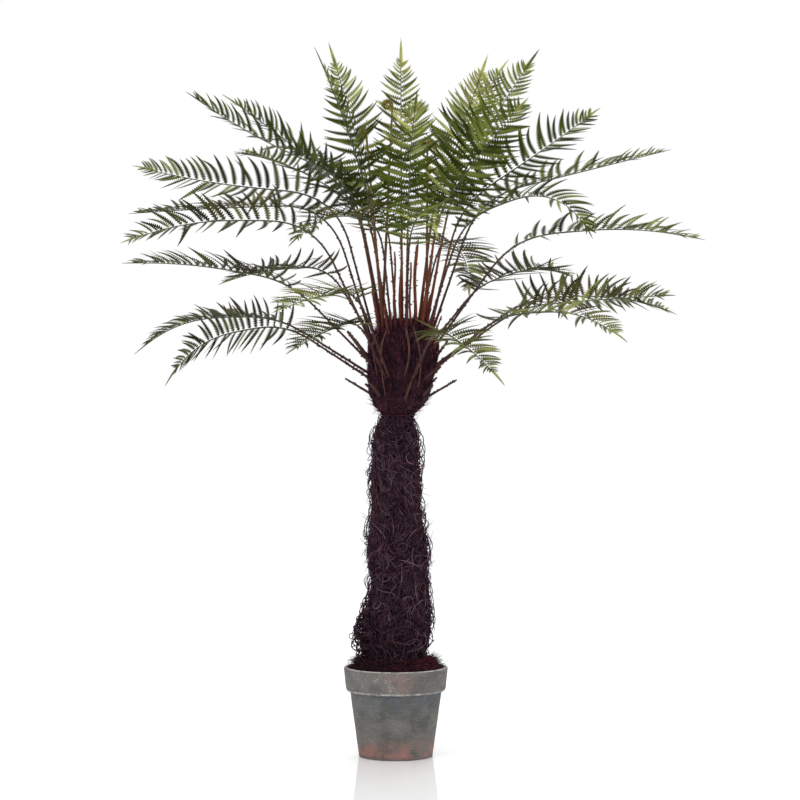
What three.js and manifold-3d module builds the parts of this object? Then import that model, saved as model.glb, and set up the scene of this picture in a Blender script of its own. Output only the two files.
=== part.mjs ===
// Artificial tree fern in a weathered planter: pot, coir filling, fibrous trunk, crown and fronds.
// Millimetres, +Z up, origin at the middle of the pot's flat underside.
import * as THREE from "three";
import Module from "manifold-3d";

const wasm = await Module();
wasm.setup();

// ---- clearances

const GAP = 0.35;
const LEAFLET_CLEARANCE = 0.5;

// ---- pot and filling

const POT_HEIGHT = 187;
const POT_SIDES = 40;
const POT_BASE_RADIUS = 77;
const POT_WAIST_RADIUS = 95.5;
const POT_RIM_RADIUS = 109;
const COLLAR_HEIGHT = 50;
const COLLAR_FOOT_RADIUS = 104;
const WALL = 7;
const FLOOR = 9;
const FILL_EDGE_HEIGHT = 181;
const FILL_CREST_HEIGHT = 203;
const FILL_CREST_RADIUS = 76;

// ---- trunk and crown: [height, radius] of their outlines

const TRUNK_OUTLINE = [
  [FILL_CREST_HEIGHT + GAP, 68], [222, 70], [244, 73], [286, 71], [318, 65], [349, 59],
  [390, 61], [425, 63], [453, 62], [480, 57], [510, 53], [540, 51], [575, 52], [610, 50],
  [645, 49], [668, 48], [688, 41], [702, 35], [711, 33],
];
const CROWN_OUTLINE = [
  [711 + GAP, 33], [720, 40], [733, 52], [750, 61], [770, 66], [800, 70], [830, 72],
  [860, 72], [885, 69], [900, 63], [911, 50],
];
const AXIS_DRIFT = [
  [0, 0], [223, -2], [340, 7], [450, 4], [560, 0], [683, -1], [711, 4], [750, 9], [830, 15], [911, 18],
];
const TRUNK_SIDES = 20;
const BARK_SWELL = 0.055;
const CROWN_SWELL = 0.03;

// ---- cut leaf stubs on the crown: [azimuth, height, rise, length, radius]

const STUBS = [
  [182, 746, 31, 84, 4.5], [196, 770, 40, 52, 4.5], [186, 806, 52, 104, 7], [150, 815, 62, 92, 5],
  [2, 740, 30, 92, 4.5], [-14, 778, 44, 50, 4.5], [12, 790, 40, 62, 5], [-4, 806, 54, 76, 5],
  [-74, 722, 46, 84, 5], [-132, 738, 40, 58, 5], [-40, 742, 34, 60, 5.5], [40, 748, 36, 72, 5.5],
  [74, 744, 48, 64, 6], [108, 750, 40, 78, 5.5], [138, 742, 32, 66, 6], [228, 744, 34, 62, 5.5],
];

// ---- coiled young fronds: [azimuth, height, rise, stalk length, coil radius]

const CROZIERS = [
  [176, 897, 92.7, 462, 11],
  [214, 880, 84, 418, 9],
  [8, 891, 89.8, 388, 8],
];
const CROZIER_STEPS = 5;
const COIL_STEPS = 20;
const COIL_TURNS = 1.4;

// ---- fronds
// azimuth, seat height, rise at the foot, level of the blade, droop at the tip, length, sway, roll,
// and slimness of the blade from 0, broad, to 1, slim with a long bare tip

const FRONDS = [
  [205, 893, 84, 70, 64, 602, 0, -10, 1],
  [165, 898, 85, 75, 72, 612, 0, -72, 1.15],
  [96, 900, 88, 87, 90, 608, 0, 0, 1.1],
  [-84, 900, 84, 76, 60, 490, 10, 0, 0.6],
  [28, 900, 82, 70, 68, 600, 0, 58, 0.9],
  [48, 898, 80, 58, 50, 650, -16, 34, 0.7],
  [-18, 893, 79, 60, 53, 632, 0, -52, 0.7],
  [18, 862, 76, 33, 36, 676, 0, 40, 0.2],
  [-42, 893, 79, 44, 38, 565, 0, -40, 0.2],
  [2, 862, 71, 14, 14, 724, 0, 12, 0],
  [-30, 872, 70, 17, -58, 588, 0, 10, 0],
  [-8, 835, 54, 4.5, -12, 692, 0, 12, 0],
  [40, 835, 44, 15, -14, 505, 0, 12, 0.2],
  [28, 797, 33, 2, -17, 690, 0, 28, 0.3],
  [-22, 795, 34, 4, 2, 582, 0, 28, 0.3],
  [-46, 777, 31, 2, -30, 622, 0, 12, 0.6],
  [-72, 765, 37, -18, -38, 490, 24, 10, 1.3],
  [-84, 861, 79, 20, -50, 495, 14, 0, 1.2],
  [197, 890, 79, 23, 33, 695, 0, -28, 0],
  [184, 893, 79, 40, 34, 622, 0, -30, 0.5],
  [178, 845, 75, 5.5, 14, 746, 0, -42, 0],
  [140, 868, 76, 25, 9, 676, 0, -10, 0],
  [165, 822, 72, -1, -3, 772, 0, -6, 0],
  [194, 830, 64, 0, -20, 704, 0, -32, 0],
  [208, 800, 42, 8, -2, 645, 0, -12, 0.3],
  [186, 788, 32, -1, -40, 560, 0, -4, 0.6],
  [158, 775, 31, -9, -55, 580, 0, -55, 1],
  [240, 775, 48, -14, -26, 410, -16, 0, 0.8],
  [247, 776, 47, -6, -14, 590, -8, -6, 0.6],
  [142, 835, 52, -2, -14, 555, 0, -12, 0.5],
  [243, 868, 78, 0, -36, 555, -16, 0, 0.5],
  [66, 850, 58, -10, -38, 650, 24, 8, 0.3],
  [102, 850, 70, 22, 0, 640, 0, -8, 0.2],
  [122, 868, 72, 34, 6, 660, 0, 6, 0.3],
];
const SEAT_DEPTH = 0.72;
const RIB_STEPS = 96;
const STALK_SECTIONS = 8;
const LEAFLET_PAIRS = 22;
const LEAFLET_CROWDING = 1.25;
const BLADE_START = 0.41;
const FIRST_LEAFLET = 0.414;
const LAST_LEAFLET = 0.985;
const BEND_START = 0.28;
const BEND_SPAN = 0.3;
const DROOP_START = 0.58;
const SPLIT_BEND = 58;
const RIB_TAPER = [[0, 7], [BLADE_START, 3.4], [1, 1.2]];
const LEAFLET_LENGTH = 92;
const BROAD_SHARE = [
  [0, 0.66], [0.12, 0.86], [0.28, 1], [0.46, 0.98], [0.62, 0.86], [0.75, 0.68], [0.86, 0.44], [0.94, 0.22],
  [1, 0.07],
];
const SLIM_SHARE = [
  [0, 0.62], [0.12, 0.8], [0.28, 0.88], [0.46, 0.78], [0.62, 0.62], [0.75, 0.42], [0.84, 0.22], [0.9, 0.08],
  [1, 0.05],
];
const LEAFLET_FOLD = 18;
const LEAFLET_SWEEP = 4;
const TIP_SWEEP = 46;

// ---- finishes

const finish = (colour, roughness) => new THREE.MeshStandardMaterial({ color: colour, roughness });
const PAINT = {
  pot: finish("#6f6a66", 0.85),
  coir: finish("#2a1816", 0.95),
  bark: finish("#35232c", 0.95),
  crown: finish("#38222b", 0.9),
  stalk: finish("#5a3d28", 0.7),
  leaf: finish("#566033", 0.65),
  coil: finish("#6d5a25", 0.7),
};

// ---- shared helpers

const radians = THREE.MathUtils.degToRad;
const smooth = (x) => THREE.MathUtils.smoothstep(x, 0, 1);

/** Value of a table of [place, value] pairs at a place, straight between its rows. */
function along(table, place) {
  const next = table.findIndex(([at]) => at >= place);
  if (next < 0) {
    return table[table.length - 1][1];
  }
  if (next === 0) {
    return table[0][1];
  }
  const [a, b] = [table[next - 1], table[next]];
  return a[1] + (b[1] - a[1]) * (place - a[0]) / (b[0] - a[0]);
}

/** Unit direction of a rise above the horizontal and an azimuth, in degrees. */
function heading(azimuth, rise) {
  const flat = Math.cos(radians(rise));
  return new THREE.Vector3(
    flat * Math.cos(radians(azimuth)),
    flat * Math.sin(radians(azimuth)),
    Math.sin(radians(rise)),
  );
}

/** Solid of a list of points and a flat list of triangle corners. */
function solidOf(points, faces) {
  const vertProperties = new Float32Array(points.flatMap((p) => [p.x, p.y, p.z]));
  const mesh = new wasm.Mesh({ numProp: 3, vertProperties, triVerts: new Uint32Array(faces) });
  mesh.merge();
  return new wasm.Manifold(mesh);
}

/** Closed skin over rings of equally many points, counter-clockwise as seen from the last ring. */
function loft(rings) {
  const n = rings[0].length;
  const faces = [];
  for (let r = 0; r + 1 < rings.length; r++) {
    for (let k = 0; k < n; k++) {
      const a = r * n + k;
      const b = r * n + (k + 1) % n;
      faces.push(a, b, b + n, a, b + n, a + n);
    }
  }
  const last = (rings.length - 1) * n;
  for (let k = 1; k + 1 < n; k++) {
    faces.push(0, k + 1, k, last, last + k, last + k + 1);
  }
  return solidOf(rings.flat(), faces);
}

/** Body turned about the Z axis from an outline of [radius, height] that starts and ends on the axis. */
function turned(outline, sides) {
  const points = [new THREE.Vector3(0, 0, outline[0][1])];
  const faces = [];
  const rings = outline.slice(1, -1);
  for (const [radius, height] of rings) {
    for (let k = 0; k < sides; k++) {
      const angle = 2 * Math.PI * k / sides;
      points.push(new THREE.Vector3(radius * Math.cos(angle), radius * Math.sin(angle), height));
    }
  }
  points.push(new THREE.Vector3(0, 0, outline[outline.length - 1][1]));
  const end = points.length - 1;
  for (let k = 0; k < sides; k++) {
    const j = (k + 1) % sides;
    faces.push(0, 1 + j, 1 + k);
    faces.push(end, end - sides + k, end - sides + j);
    for (let r = 0; r + 1 < rings.length; r++) {
      const a = 1 + r * sides + k;
      const b = 1 + r * sides + j;
      faces.push(a, b, b + sides, a, b + sides, a + sides);
    }
  }
  return solidOf(points, faces);
}

/** Column round the drifting axis, its skin swelling in and out like matted fibre. */
function column(outline, swell, grow = 0) {
  return loft(outline.map(([height, radius]) => {
    const ring = [];
    for (let k = 0; k < TRUNK_SIDES; k++) {
      const angle = 2 * Math.PI * k / TRUNK_SIDES;
      const wave = Math.sin(3 * angle + height / 47) * 0.6 + Math.sin(5 * angle - height / 29) * 0.4;
      const r = radius * (1 + swell * wave) + grow;
      const x = along(AXIS_DRIFT, height) + r * Math.cos(angle);
      ring.push(new THREE.Vector3(x, r * Math.sin(angle), height));
    }
    return ring;
  }));
}

/** Round limb along a path of {point, direction, radius} that bends only about a level direction. */
function limb(path, across, sides) {
  return loft(path.map(({ point, direction, radius }) => {
    const up = new THREE.Vector3().crossVectors(direction, across);
    const ring = [];
    for (let k = 0; k < sides; k++) {
      const angle = 2 * Math.PI * k / sides;
      ring.push(point.clone()
        .addScaledVector(across, radius * Math.cos(angle))
        .addScaledVector(up, radius * Math.sin(angle)));
    }
    return ring;
  }));
}

/** Point inside the crown from which a stalk or stub at this azimuth and height sets out. */
function seat(azimuth, height) {
  const reach = along(CROWN_OUTLINE, height) * SEAT_DEPTH;
  return new THREE.Vector3(
    along(AXIS_DRIFT, height) + reach * Math.cos(radians(azimuth)),
    reach * Math.sin(radians(azimuth)),
    height,
  );
}

// ---- pot, filling, trunk, crown

function buildPot() {
  const collarFoot = POT_HEIGHT - COLLAR_HEIGHT;
  return turned([
    [0, 0], [POT_BASE_RADIUS - 2, 0], [POT_BASE_RADIUS, 2], [POT_WAIST_RADIUS, collarFoot - 2],
    [POT_WAIST_RADIUS + 1, collarFoot], [COLLAR_FOOT_RADIUS - 3, collarFoot + 1],
    [COLLAR_FOOT_RADIUS, collarFoot + 5], [POT_RIM_RADIUS, POT_HEIGHT - 3],
    [POT_RIM_RADIUS - 2, POT_HEIGHT], [POT_RIM_RADIUS - WALL, POT_HEIGHT],
    [POT_RIM_RADIUS - WALL - 1, POT_HEIGHT - 1], [POT_WAIST_RADIUS - WALL, collarFoot - 4],
    [POT_BASE_RADIUS - WALL, FLOOR], [0, FLOOR],
  ], POT_SIDES);
}

function buildFilling() {
  const collarFoot = POT_HEIGHT - COLLAR_HEIGHT;
  const inset = WALL + GAP;
  return turned([
    [0, FLOOR + GAP], [POT_BASE_RADIUS - inset, FLOOR + GAP], [POT_WAIST_RADIUS - inset, collarFoot - 4],
    [POT_RIM_RADIUS - inset - 2.4, FILL_EDGE_HEIGHT], [90, FILL_EDGE_HEIGHT + 6],
    [FILL_CREST_RADIUS, FILL_CREST_HEIGHT], [0, FILL_CREST_HEIGHT],
  ], POT_SIDES);
}

/** Cut foot of an old leaf, standing out of the crown. */
function buildStub([azimuth, height, rise, length, radius]) {
  const direction = heading(azimuth, rise);
  const root = seat(azimuth, height);
  const path = [0, 0.5, 1].map((t) => ({
    point: root.clone().addScaledVector(direction, t * length),
    direction,
    radius: radius * (1.1 - 0.35 * t),
  }));
  return limb(path, heading(azimuth + 90, 0), 6);
}

/** Young frond: a thin upright stalk whose end is wound up in a flat coil. */
function buildCrozier([azimuth, height, rise, length, coil]) {
  const path = [];
  const point = seat(azimuth, height);
  for (let i = 0; i <= CROZIER_STEPS; i++) {
    const t = i / CROZIER_STEPS;
    path.push({ point: point.clone(), direction: heading(azimuth, rise), radius: 3.2 - t });
    point.addScaledVector(heading(azimuth, rise), i < CROZIER_STEPS ? length / CROZIER_STEPS : 0);
  }
  for (let i = 1; i <= COIL_STEPS; i++) {
    const t = i / COIL_STEPS;
    const direction = heading(azimuth, rise - 360 * COIL_TURNS * t);
    point.addScaledVector(direction, coil * (1 - 0.62 * t) * 2 * Math.PI * COIL_TURNS / COIL_STEPS);
    path.push({ point: point.clone(), direction, radius: 2.2 - 0.9 * t });
  }
  return limb(path, heading(azimuth + 90, 0), 5);
}

// ---- fronds

/** Gives, for a place 0..1 down a frond's rib, its point, directions, width and slimness. */
function ribOf([azimuth, height, rise, level, droop, length, sway, roll, slimness]) {
  const point = seat(azimuth, height);
  const stops = [];
  for (let i = 0; i <= RIB_STEPS; i++) {
    const t = i / RIB_STEPS;
    const bend = (level - rise) * smooth((t - BEND_START) / BEND_SPAN);
    const fall = (droop - level) * smooth((t - DROOP_START) / (1 - DROOP_START));
    const turn = azimuth + sway * t * t;
    const forward = heading(turn, rise + bend + fall);
    const across = heading(turn + 90, 0);
    const raised = new THREE.Vector3().crossVectors(forward, across);
    const twist = radians(roll) * smooth(t / BLADE_START);
    const side = across.multiplyScalar(Math.cos(twist)).addScaledVector(raised, Math.sin(twist));
    const up = new THREE.Vector3().crossVectors(forward, side);
    stops.push({ point: point.clone(), forward, side, up });
    point.addScaledVector(forward, length / RIB_STEPS);
  }
  return (place) => {
    const low = Math.min(Math.floor(place * RIB_STEPS), RIB_STEPS - 1);
    const between = (key) => stops[low][key].clone().lerp(stops[low + 1][key], place * RIB_STEPS - low);
    return {
      point: between("point"),
      forward: between("forward"),
      side: between("side"),
      up: between("up"),
      width: along(RIB_TAPER, place),
      slimness,
    };
  };
}

/** Three-cornered section of the rib: left edge, right edge, keel. */
function section({ point, side, up, width }) {
  return [
    point.clone().addScaledVector(up, width * 0.35).addScaledVector(side, width * 0.5),
    point.clone().addScaledVector(up, width * 0.35).addScaledVector(side, -width * 0.5),
    point.clone().addScaledVector(up, -width * 0.55),
  ];
}

/** Places of the leaflets' edges down the blade, closer together towards the tip. */
function leafletPlaces() {
  const places = [];
  for (let i = 0; i <= LEAFLET_PAIRS; i++) {
    const b = 1 - (1 - i / LEAFLET_PAIRS) ** LEAFLET_CROWDING;
    places.push(FIRST_LEAFLET + (LAST_LEAFLET - FIRST_LEAFLET) * b);
  }
  return places;
}

/** Tip of the leaflet that grows between two places of the rib, on its left (+1) or right (-1). */
function leafletTip(rib, from, to, hand) {
  const root = rib((from + to) / 2);
  const b = ((from + to) / 2 - BLADE_START) / (1 - BLADE_START);
  const share = THREE.MathUtils.lerp(along(BROAD_SHARE, b), along(SLIM_SHARE, b), root.slimness);
  const reach = LEAFLET_LENGTH * share;
  const sweep = radians(LEAFLET_SWEEP + TIP_SWEEP * b);
  const fold = radians(LEAFLET_FOLD);
  return root.point
    .addScaledVector(root.forward, reach * Math.sin(sweep))
    .addScaledVector(root.side, hand * reach * Math.cos(sweep) * Math.cos(fold))
    .addScaledVector(root.up, reach * Math.cos(sweep) * Math.sin(fold));
}

/** Rib through a run of places; tips[i][k] draws flank k of its stretch i out to a leaflet. */
function frondBody(rib, places, tips = []) {
  const points = places.flatMap((place) => section(rib(place)));
  const faces = [0, 2, 1];
  for (let i = 0; i + 1 < places.length; i++) {
    for (let k = 0; k < 3; k++) {
      const a = 3 * i + k;
      const b = 3 * i + (k + 1) % 3;
      if (tips[i]?.[k]) {
        const p = points.push(tips[i][k]) - 1;
        faces.push(a, b, p, b, b + 3, p, b + 3, a + 3, p, a + 3, a, p);
      } else {
        faces.push(a, b, b + 3, a, b + 3, a + 3);
      }
    }
  }
  const end = 3 * (places.length - 1);
  faces.push(end, end + 1, end + 2);
  return solidOf(points, faces);
}

/** Leaflet alone, as a solid to measure clearances with. */
function leafletBody(rib, from, to, flank, tip) {
  const [near, far] = [section(rib(from)), section(rib(to))];
  const next = (flank + 1) % 3;
  const points = [near[flank], near[next], far[next], far[flank], tip];
  return solidOf(points, [0, 1, 4, 1, 2, 4, 2, 3, 4, 3, 0, 4, 0, 2, 1, 0, 3, 2]);
}

/** True where two solids come nearer than a distance; their boxes are asked first. */
function near(a, b, distance) {
  const [p, q] = [a.box, b.box];
  for (let k = 0; k < 3; k++) {
    if (p.min[k] > q.max[k] + distance || q.min[k] > p.max[k] + distance) {
      return false;
    }
  }
  return a.solid.minGap(b.solid, distance * 2) < distance;
}

const boxed = (solid, owner) => ({ solid, owner, box: solid.boundingBox() });

/** Tips of the leaflets that each frond keeps: one that would come near another limb is left out. */
function growLeaflets(ribs, limbs) {
  const places = leafletPlaces();
  const taken = [...limbs];
  return ribs.map((rib, owner) => {
    const mine = [];
    const tips = places.slice(1).map((to, i) => {
      const row = [];
      for (const [flank, hand] of [[2, 1], [1, -1]]) {
        const tip = leafletTip(rib, places[i], to, hand);
        const leaflet = boxed(leafletBody(rib, places[i], to, flank, tip), owner);
        if (!taken.some((other) => other.owner !== owner && near(leaflet, other, LEAFLET_CLEARANCE))) {
          row[flank] = tip;
          mine.push(leaflet);
        }
      }
      return row;
    });
    taken.push(...mine);
    return tips;
  });
}

// ---- assembly

const group = new THREE.Group();

/** Adds a solid to the group as a named mesh. */
function place(name, solid, material) {
  const { vertProperties, triVerts } = solid.getMesh();
  const geometry = new THREE.BufferGeometry();
  geometry.setAttribute("position", new THREE.BufferAttribute(vertProperties, 3));
  geometry.setIndex(new THREE.BufferAttribute(triVerts, 1));
  geometry.computeVertexNormals();
  const mesh = new THREE.Mesh(geometry, material);
  mesh.name = name;
  group.add(mesh);
}

place("pot", buildPot(), PAINT.pot);
place("pot_filling", buildFilling(), PAINT.coir);
place("trunk", column(TRUNK_OUTLINE, BARK_SWELL), PAINT.bark);

const crown = wasm.Manifold.union([column(CROWN_OUTLINE, CROWN_SWELL), ...STUBS.map(buildStub)]);
place("crown", crown, PAINT.crown);

const clearOutline = CROWN_OUTLINE.map(([height, radius]) => [height + GAP, radius]);
const crownSpace = column(clearOutline, CROWN_SWELL, GAP);

const croziers = CROZIERS.map((row) => buildCrozier(row).subtract(crownSpace));
croziers.forEach((solid, i) => place(`crozier_${i + 1}`, solid, PAINT.coil));

const stalkPlaces = [...Array(STALK_SECTIONS).keys()].map((i) => BLADE_START * i / (STALK_SECTIONS - 1));
const bladePlaces = [...leafletPlaces(), 1];
const ribs = FRONDS.map(ribOf);
const limbs = [
  boxed(crown, "crown"),
  ...croziers.map((solid) => boxed(solid, "crozier")),
  ...ribs.map((rib, i) => boxed(frondBody(rib, [...stalkPlaces, ...bladePlaces]).subtract(crownSpace), i)),
];
const leaflets = growLeaflets(ribs, limbs);

FRONDS.forEach(([, , rise, , droop, length], i) => {
  const name = `frond_${String(i + 1).padStart(2, "0")}`;
  const rib = ribs[i];
  if (rise - droop > SPLIT_BEND) {
    const bladeRoot = BLADE_START + GAP / length;
    place(`${name}_stalk`, frondBody(rib, stalkPlaces).subtract(crownSpace), PAINT.stalk);
    place(`${name}_blade`, frondBody(rib, [bladeRoot, ...bladePlaces], [[], ...leaflets[i]]), PAINT.leaf);
  } else {
    const skipped = stalkPlaces.map(() => []);
    const body = frondBody(rib, [...stalkPlaces, ...bladePlaces], [...skipped, ...leaflets[i]]);
    place(name, body.subtract(crownSpace), PAINT.leaf);
  }
});

export default group;
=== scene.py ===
"""Artificial tree fern in a weathered pot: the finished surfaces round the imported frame.

Sizes are in millimetres in the object's own frame, and become metres as each mesh is made.
"""

import logging
import math
from dataclasses import dataclass, field
from enum import Enum
from typing import Protocol

import bpy
import numpy as np
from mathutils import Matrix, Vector


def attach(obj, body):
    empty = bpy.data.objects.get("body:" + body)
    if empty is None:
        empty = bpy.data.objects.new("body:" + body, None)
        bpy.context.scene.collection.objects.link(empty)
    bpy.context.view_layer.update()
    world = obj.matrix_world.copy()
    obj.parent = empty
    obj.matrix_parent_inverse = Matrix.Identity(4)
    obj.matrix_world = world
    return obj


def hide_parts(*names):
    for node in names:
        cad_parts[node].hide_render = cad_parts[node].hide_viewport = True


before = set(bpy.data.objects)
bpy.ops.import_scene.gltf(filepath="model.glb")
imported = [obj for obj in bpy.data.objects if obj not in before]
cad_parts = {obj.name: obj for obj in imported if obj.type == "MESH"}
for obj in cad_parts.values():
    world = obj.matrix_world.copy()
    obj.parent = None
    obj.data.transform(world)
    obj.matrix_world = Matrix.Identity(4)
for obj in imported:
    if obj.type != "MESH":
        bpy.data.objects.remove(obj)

LOG = logging.getLogger("tree_fern")
METRE = 0.001
BODY = "root"
NOISE_GRID = 32
SEAT_DEPTH = 0.72
Array = np.ndarray
Colour = tuple[float, float, float, float]
Place = tuple[float, float, float]
Rows = tuple[tuple[float, ...], ...]
Material = bpy.types.Material
Socket = bpy.types.NodeSocket


# ---- numbers and noise


def smooth(x: Array) -> Array:
    """Smoothstep: 3x² - 2x³ of x held between 0 and 1."""
    x = np.clip(x, 0.0, 1.0)
    return x * x * (3.0 - 2.0 * x)


def unit(vectors: Array) -> Array:
    """Vectors of length 1 in the same directions."""
    return vectors / np.maximum(np.linalg.norm(vectors, axis=-1, keepdims=True), 1e-9)


def heading(azimuth: Array, rise: Array) -> Array:
    """Unit directions (cos rise cos azimuth, cos rise sin azimuth, sin rise).

    Args:
        azimuth: Angle round the upright axis, in degrees.
        rise: Angle above the level, in degrees.

    Returns:
        The directions, (..., 3).
    """
    azimuth, rise = np.broadcast_arrays(np.radians(azimuth), np.radians(rise))
    flat = np.cos(rise)
    return np.stack([flat * np.cos(azimuth), flat * np.sin(azimuth), np.sin(rise)], axis=-1)


def table(rows: Rows, place: Array) -> Array:
    """Value of a table of (place, value) rows, straight between them."""
    return np.interp(place, [row[0] for row in rows], [row[1] for row in rows])


def lattice_noise(points: Array, cell: float, seed: int) -> Array:
    """Soft noise from -1 to 1.

    Random values stand on the corners of a cubic grid that repeats, and a point takes the mean of
    its cell's eight corners, each weighted by smoothstep of its nearness on each axis.

    Args:
        points: Places to read, in millimetres, (..., 3).
        cell: Size of a cell in millimetres.
        seed: Number that sets the random values.

    Returns:
        The noise at each place.
    """
    values = np.random.default_rng(seed).uniform(-1.0, 1.0, (NOISE_GRID,) * 3)
    scaled = points / cell
    low = np.floor(scaled).astype(int)
    part = smooth(scaled - low)
    total = np.zeros(points.shape[:-1])
    for corner in range(8):
        step = np.array([corner & 1, corner >> 1 & 1, corner >> 2])
        weight = np.prod(np.where(step == 1, part, 1.0 - part), axis=-1)
        index = (low + step) % NOISE_GRID
        total += weight * values[index[..., 0], index[..., 1], index[..., 2]]
    return total


def circle(columns: int) -> Array:
    """Angles of the corners of a ring, as one row."""
    return 2.0 * np.pi * np.arange(columns)[None, :] / columns


def turned(radius: Array, height: Array, columns: int) -> Array:
    """Rings round the upright axis: (r cos angle, r sin angle, height) for rows of r and height."""
    angle = circle(columns)
    return np.stack([radius * np.cos(angle), radius * np.sin(angle), height + 0.0 * angle], axis=-1)


# ---- meshes


class Finish(Protocol):
    """Surface of a piece."""

    def material(self) -> Material:
        """Makes the material."""


class Skin:
    """Corners and faces of one piece, gathered as arrays until its mesh is made."""

    def __init__(self) -> None:
        """Starts with no corner and no face."""
        self.points: list[Array] = []
        self.faces: list[Array] = []
        self.count = 0

    def add(self, points: Array, *faces: Array) -> "Skin":
        """Adds corners and the faces between them.

        Args:
            points: Corners in millimetres, (..., 3).
            faces: Arrays of corner numbers, one row a face, counted within these points.

        Returns:
            The same skin.
        """
        self.points.append(points.reshape(-1, 3))
        self.faces += [block + self.count for block in faces if len(block)]
        self.count += len(self.points[-1])
        return self

    def build(
        self, name: str, finish: Finish, slot: str, replaced: list[str], rounded: bool = True
    ) -> None:
        """Makes the mesh and its object, and sets it on the plant's body.

        Args:
            name: Piece name.
            finish: Surface of the piece.
            slot: Name of the record's material slot for the piece; not used.
            replaced: Nodes of the frame that it stands for.
            rounded: True to shade the faces as one smooth skin.
        """
        points = np.concatenate(self.points) * METRE
        corners = np.concatenate([block.ravel() for block in self.faces])
        sizes = np.concatenate([np.full(len(block), block.shape[1]) for block in self.faces])
        mesh = bpy.data.meshes.new(name)
        mesh.vertices.add(len(points))
        mesh.vertices.foreach_set("co", points.astype(np.float32).ravel())
        mesh.loops.add(len(corners))
        mesh.loops.foreach_set("vertex_index", corners.astype(np.int32))
        mesh.polygons.add(len(sizes))
        mesh.polygons.foreach_set("loop_start", (np.cumsum(sizes) - sizes).astype(np.int32))
        mesh.update(calc_edges=True)
        mesh.validate()
        mesh.polygons.foreach_set("use_smooth", np.full(len(mesh.polygons), rounded))
        mesh.materials.append(finish.material())
        piece = bpy.data.objects.new(name, mesh)
        bpy.context.scene.collection.objects.link(piece)
        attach(piece, BODY)
        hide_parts(*replaced)
        LOG.info("%s: %d faces, %d triangles", name, len(sizes), (sizes - 2).sum())


def wall_faces(bodies: int, rows: int, columns: int) -> Array:
    """Quads of closed walls: row r, column c joins c + 1 (round to 0) and row r + 1.

    Args:
        bodies: Number of closed walls.
        rows: Rings of each.
        columns: Corners of a ring.

    Returns:
        Corner numbers, one row a quad.
    """
    body, row, column = np.indices((bodies, rows - 1, columns)).reshape(3, -1)
    start = (body * rows + row) * columns
    beside = (column + 1) % columns
    return np.stack(
        [start + column, start + beside, start + columns + beside, start + columns + column], axis=1
    )


def tubes(centres: Array, radii: Array, sides: int, side: Array | None = None) -> tuple[Array, ...]:
    """Round limbs along many paths at once, closed at both ends.

    A ring is centre + radius (side cos a + up sin a), a running once round. Side is carried from
    step to step with its share along the path taken off, and up is path x side.

    Args:
        centres: Path points, (limbs, steps, 3).
        radii: Radius at each point, (limbs, steps).
        sides: Corners of the section.
        side: First side direction of each limb, (limbs, 3); any that is square to it if left out.

    Returns:
        The corners, the walls' quads, and the faces of the two ends.
    """
    limbs, steps = radii.shape
    path = unit(np.gradient(centres, axis=1))
    if side is None:
        side = np.cross(path[:, 0], np.eye(3)[np.argmin(np.abs(path[:, 0]), axis=1)])
    turn = 2.0 * np.pi * np.arange(sides) / sides
    rings = np.empty((limbs, steps, sides, 3))
    for k in range(steps):
        side = unit(side - np.sum(side * path[:, k], axis=1, keepdims=True) * path[:, k])
        up = np.cross(path[:, k], side)
        spoke = side[:, None] * np.cos(turn)[:, None] + up[:, None] * np.sin(turn)[:, None]
        rings[:, k] = centres[:, k, None] + radii[:, k, None, None] * spoke
    first = np.arange(limbs)[:, None] * steps * sides + np.arange(sides)
    last = first + (steps - 1) * sides
    return rings, wall_faces(limbs, steps, sides), first[:, ::-1], last


def capped(rings: Array) -> tuple[Array, ...]:
    """One closed body over rings that begin and end in a point.

    Args:
        rings: Corners, (rows, columns, 3), counter-clockwise as seen from the last row; the first
            and the last row are each drawn together to their mean.

    Returns:
        The corners, the wall's quads and the triangles of the two ends.
    """
    rows, columns = rings.shape[:2]
    inner = rings[1:-1].reshape(-1, 3)
    poles = np.stack([rings[0].mean(axis=0), rings[-1].mean(axis=0)])
    here = np.arange(columns)
    beside = (here + 1) % columns
    foot = len(inner)
    top_row = (rows - 3) * columns
    low = np.stack([np.full(columns, foot), beside, here], axis=1)
    high = np.stack([np.full(columns, foot + 1), top_row + here, top_row + beside], axis=1)
    return np.concatenate([inner, poles]), wall_faces(1, rows - 2, columns), low, high


def rounded_outline(corners: Array, reach: Array, steps: int, spacing: float) -> Array:
    """Outline whose corners are rounded and whose straights are cut into short spans.

    A corner p becomes the curve (1-u)² a + 2u(1-u) p + u² b, where a and b lie the reach before
    and after p on the outline's straights.

    Args:
        corners: Outline points, (n, 2); the two ends stay as they are.
        reach: How far each corner's curve runs along both straights, (n,).
        steps: Spans of a curve.
        spacing: Longest span of a straight.

    Returns:
        The finer outline, (m, 2).
    """
    u = np.linspace(0.0, 1.0, steps + 1)[:, None]
    runs = [corners[:1]]
    for before, corner, after, cut in zip(corners[:-2], corners[1:-1], corners[2:], reach[1:-1]):
        start = corner + unit(before - corner) * cut
        end = corner + unit(after - corner) * cut
        spans = int(np.ceil(np.linalg.norm(start - runs[-1][-1]) / spacing))
        share = np.linspace(0.0, 1.0, spans + 1)[1:-1, None]
        runs.append(runs[-1][-1] * (1.0 - share) + start * share)
        runs.append((1.0 - u) ** 2 * start + 2.0 * u * (1.0 - u) * corner + u**2 * end)
    spans = int(np.ceil(np.linalg.norm(corners[-1] - runs[-1][-1]) / spacing))
    share = np.linspace(0.0, 1.0, spans + 1)[1:, None]
    runs.append(runs[-1][-1] * (1.0 - share) + corners[-1] * share)
    return np.concatenate([run for run in runs if len(run)])


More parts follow.
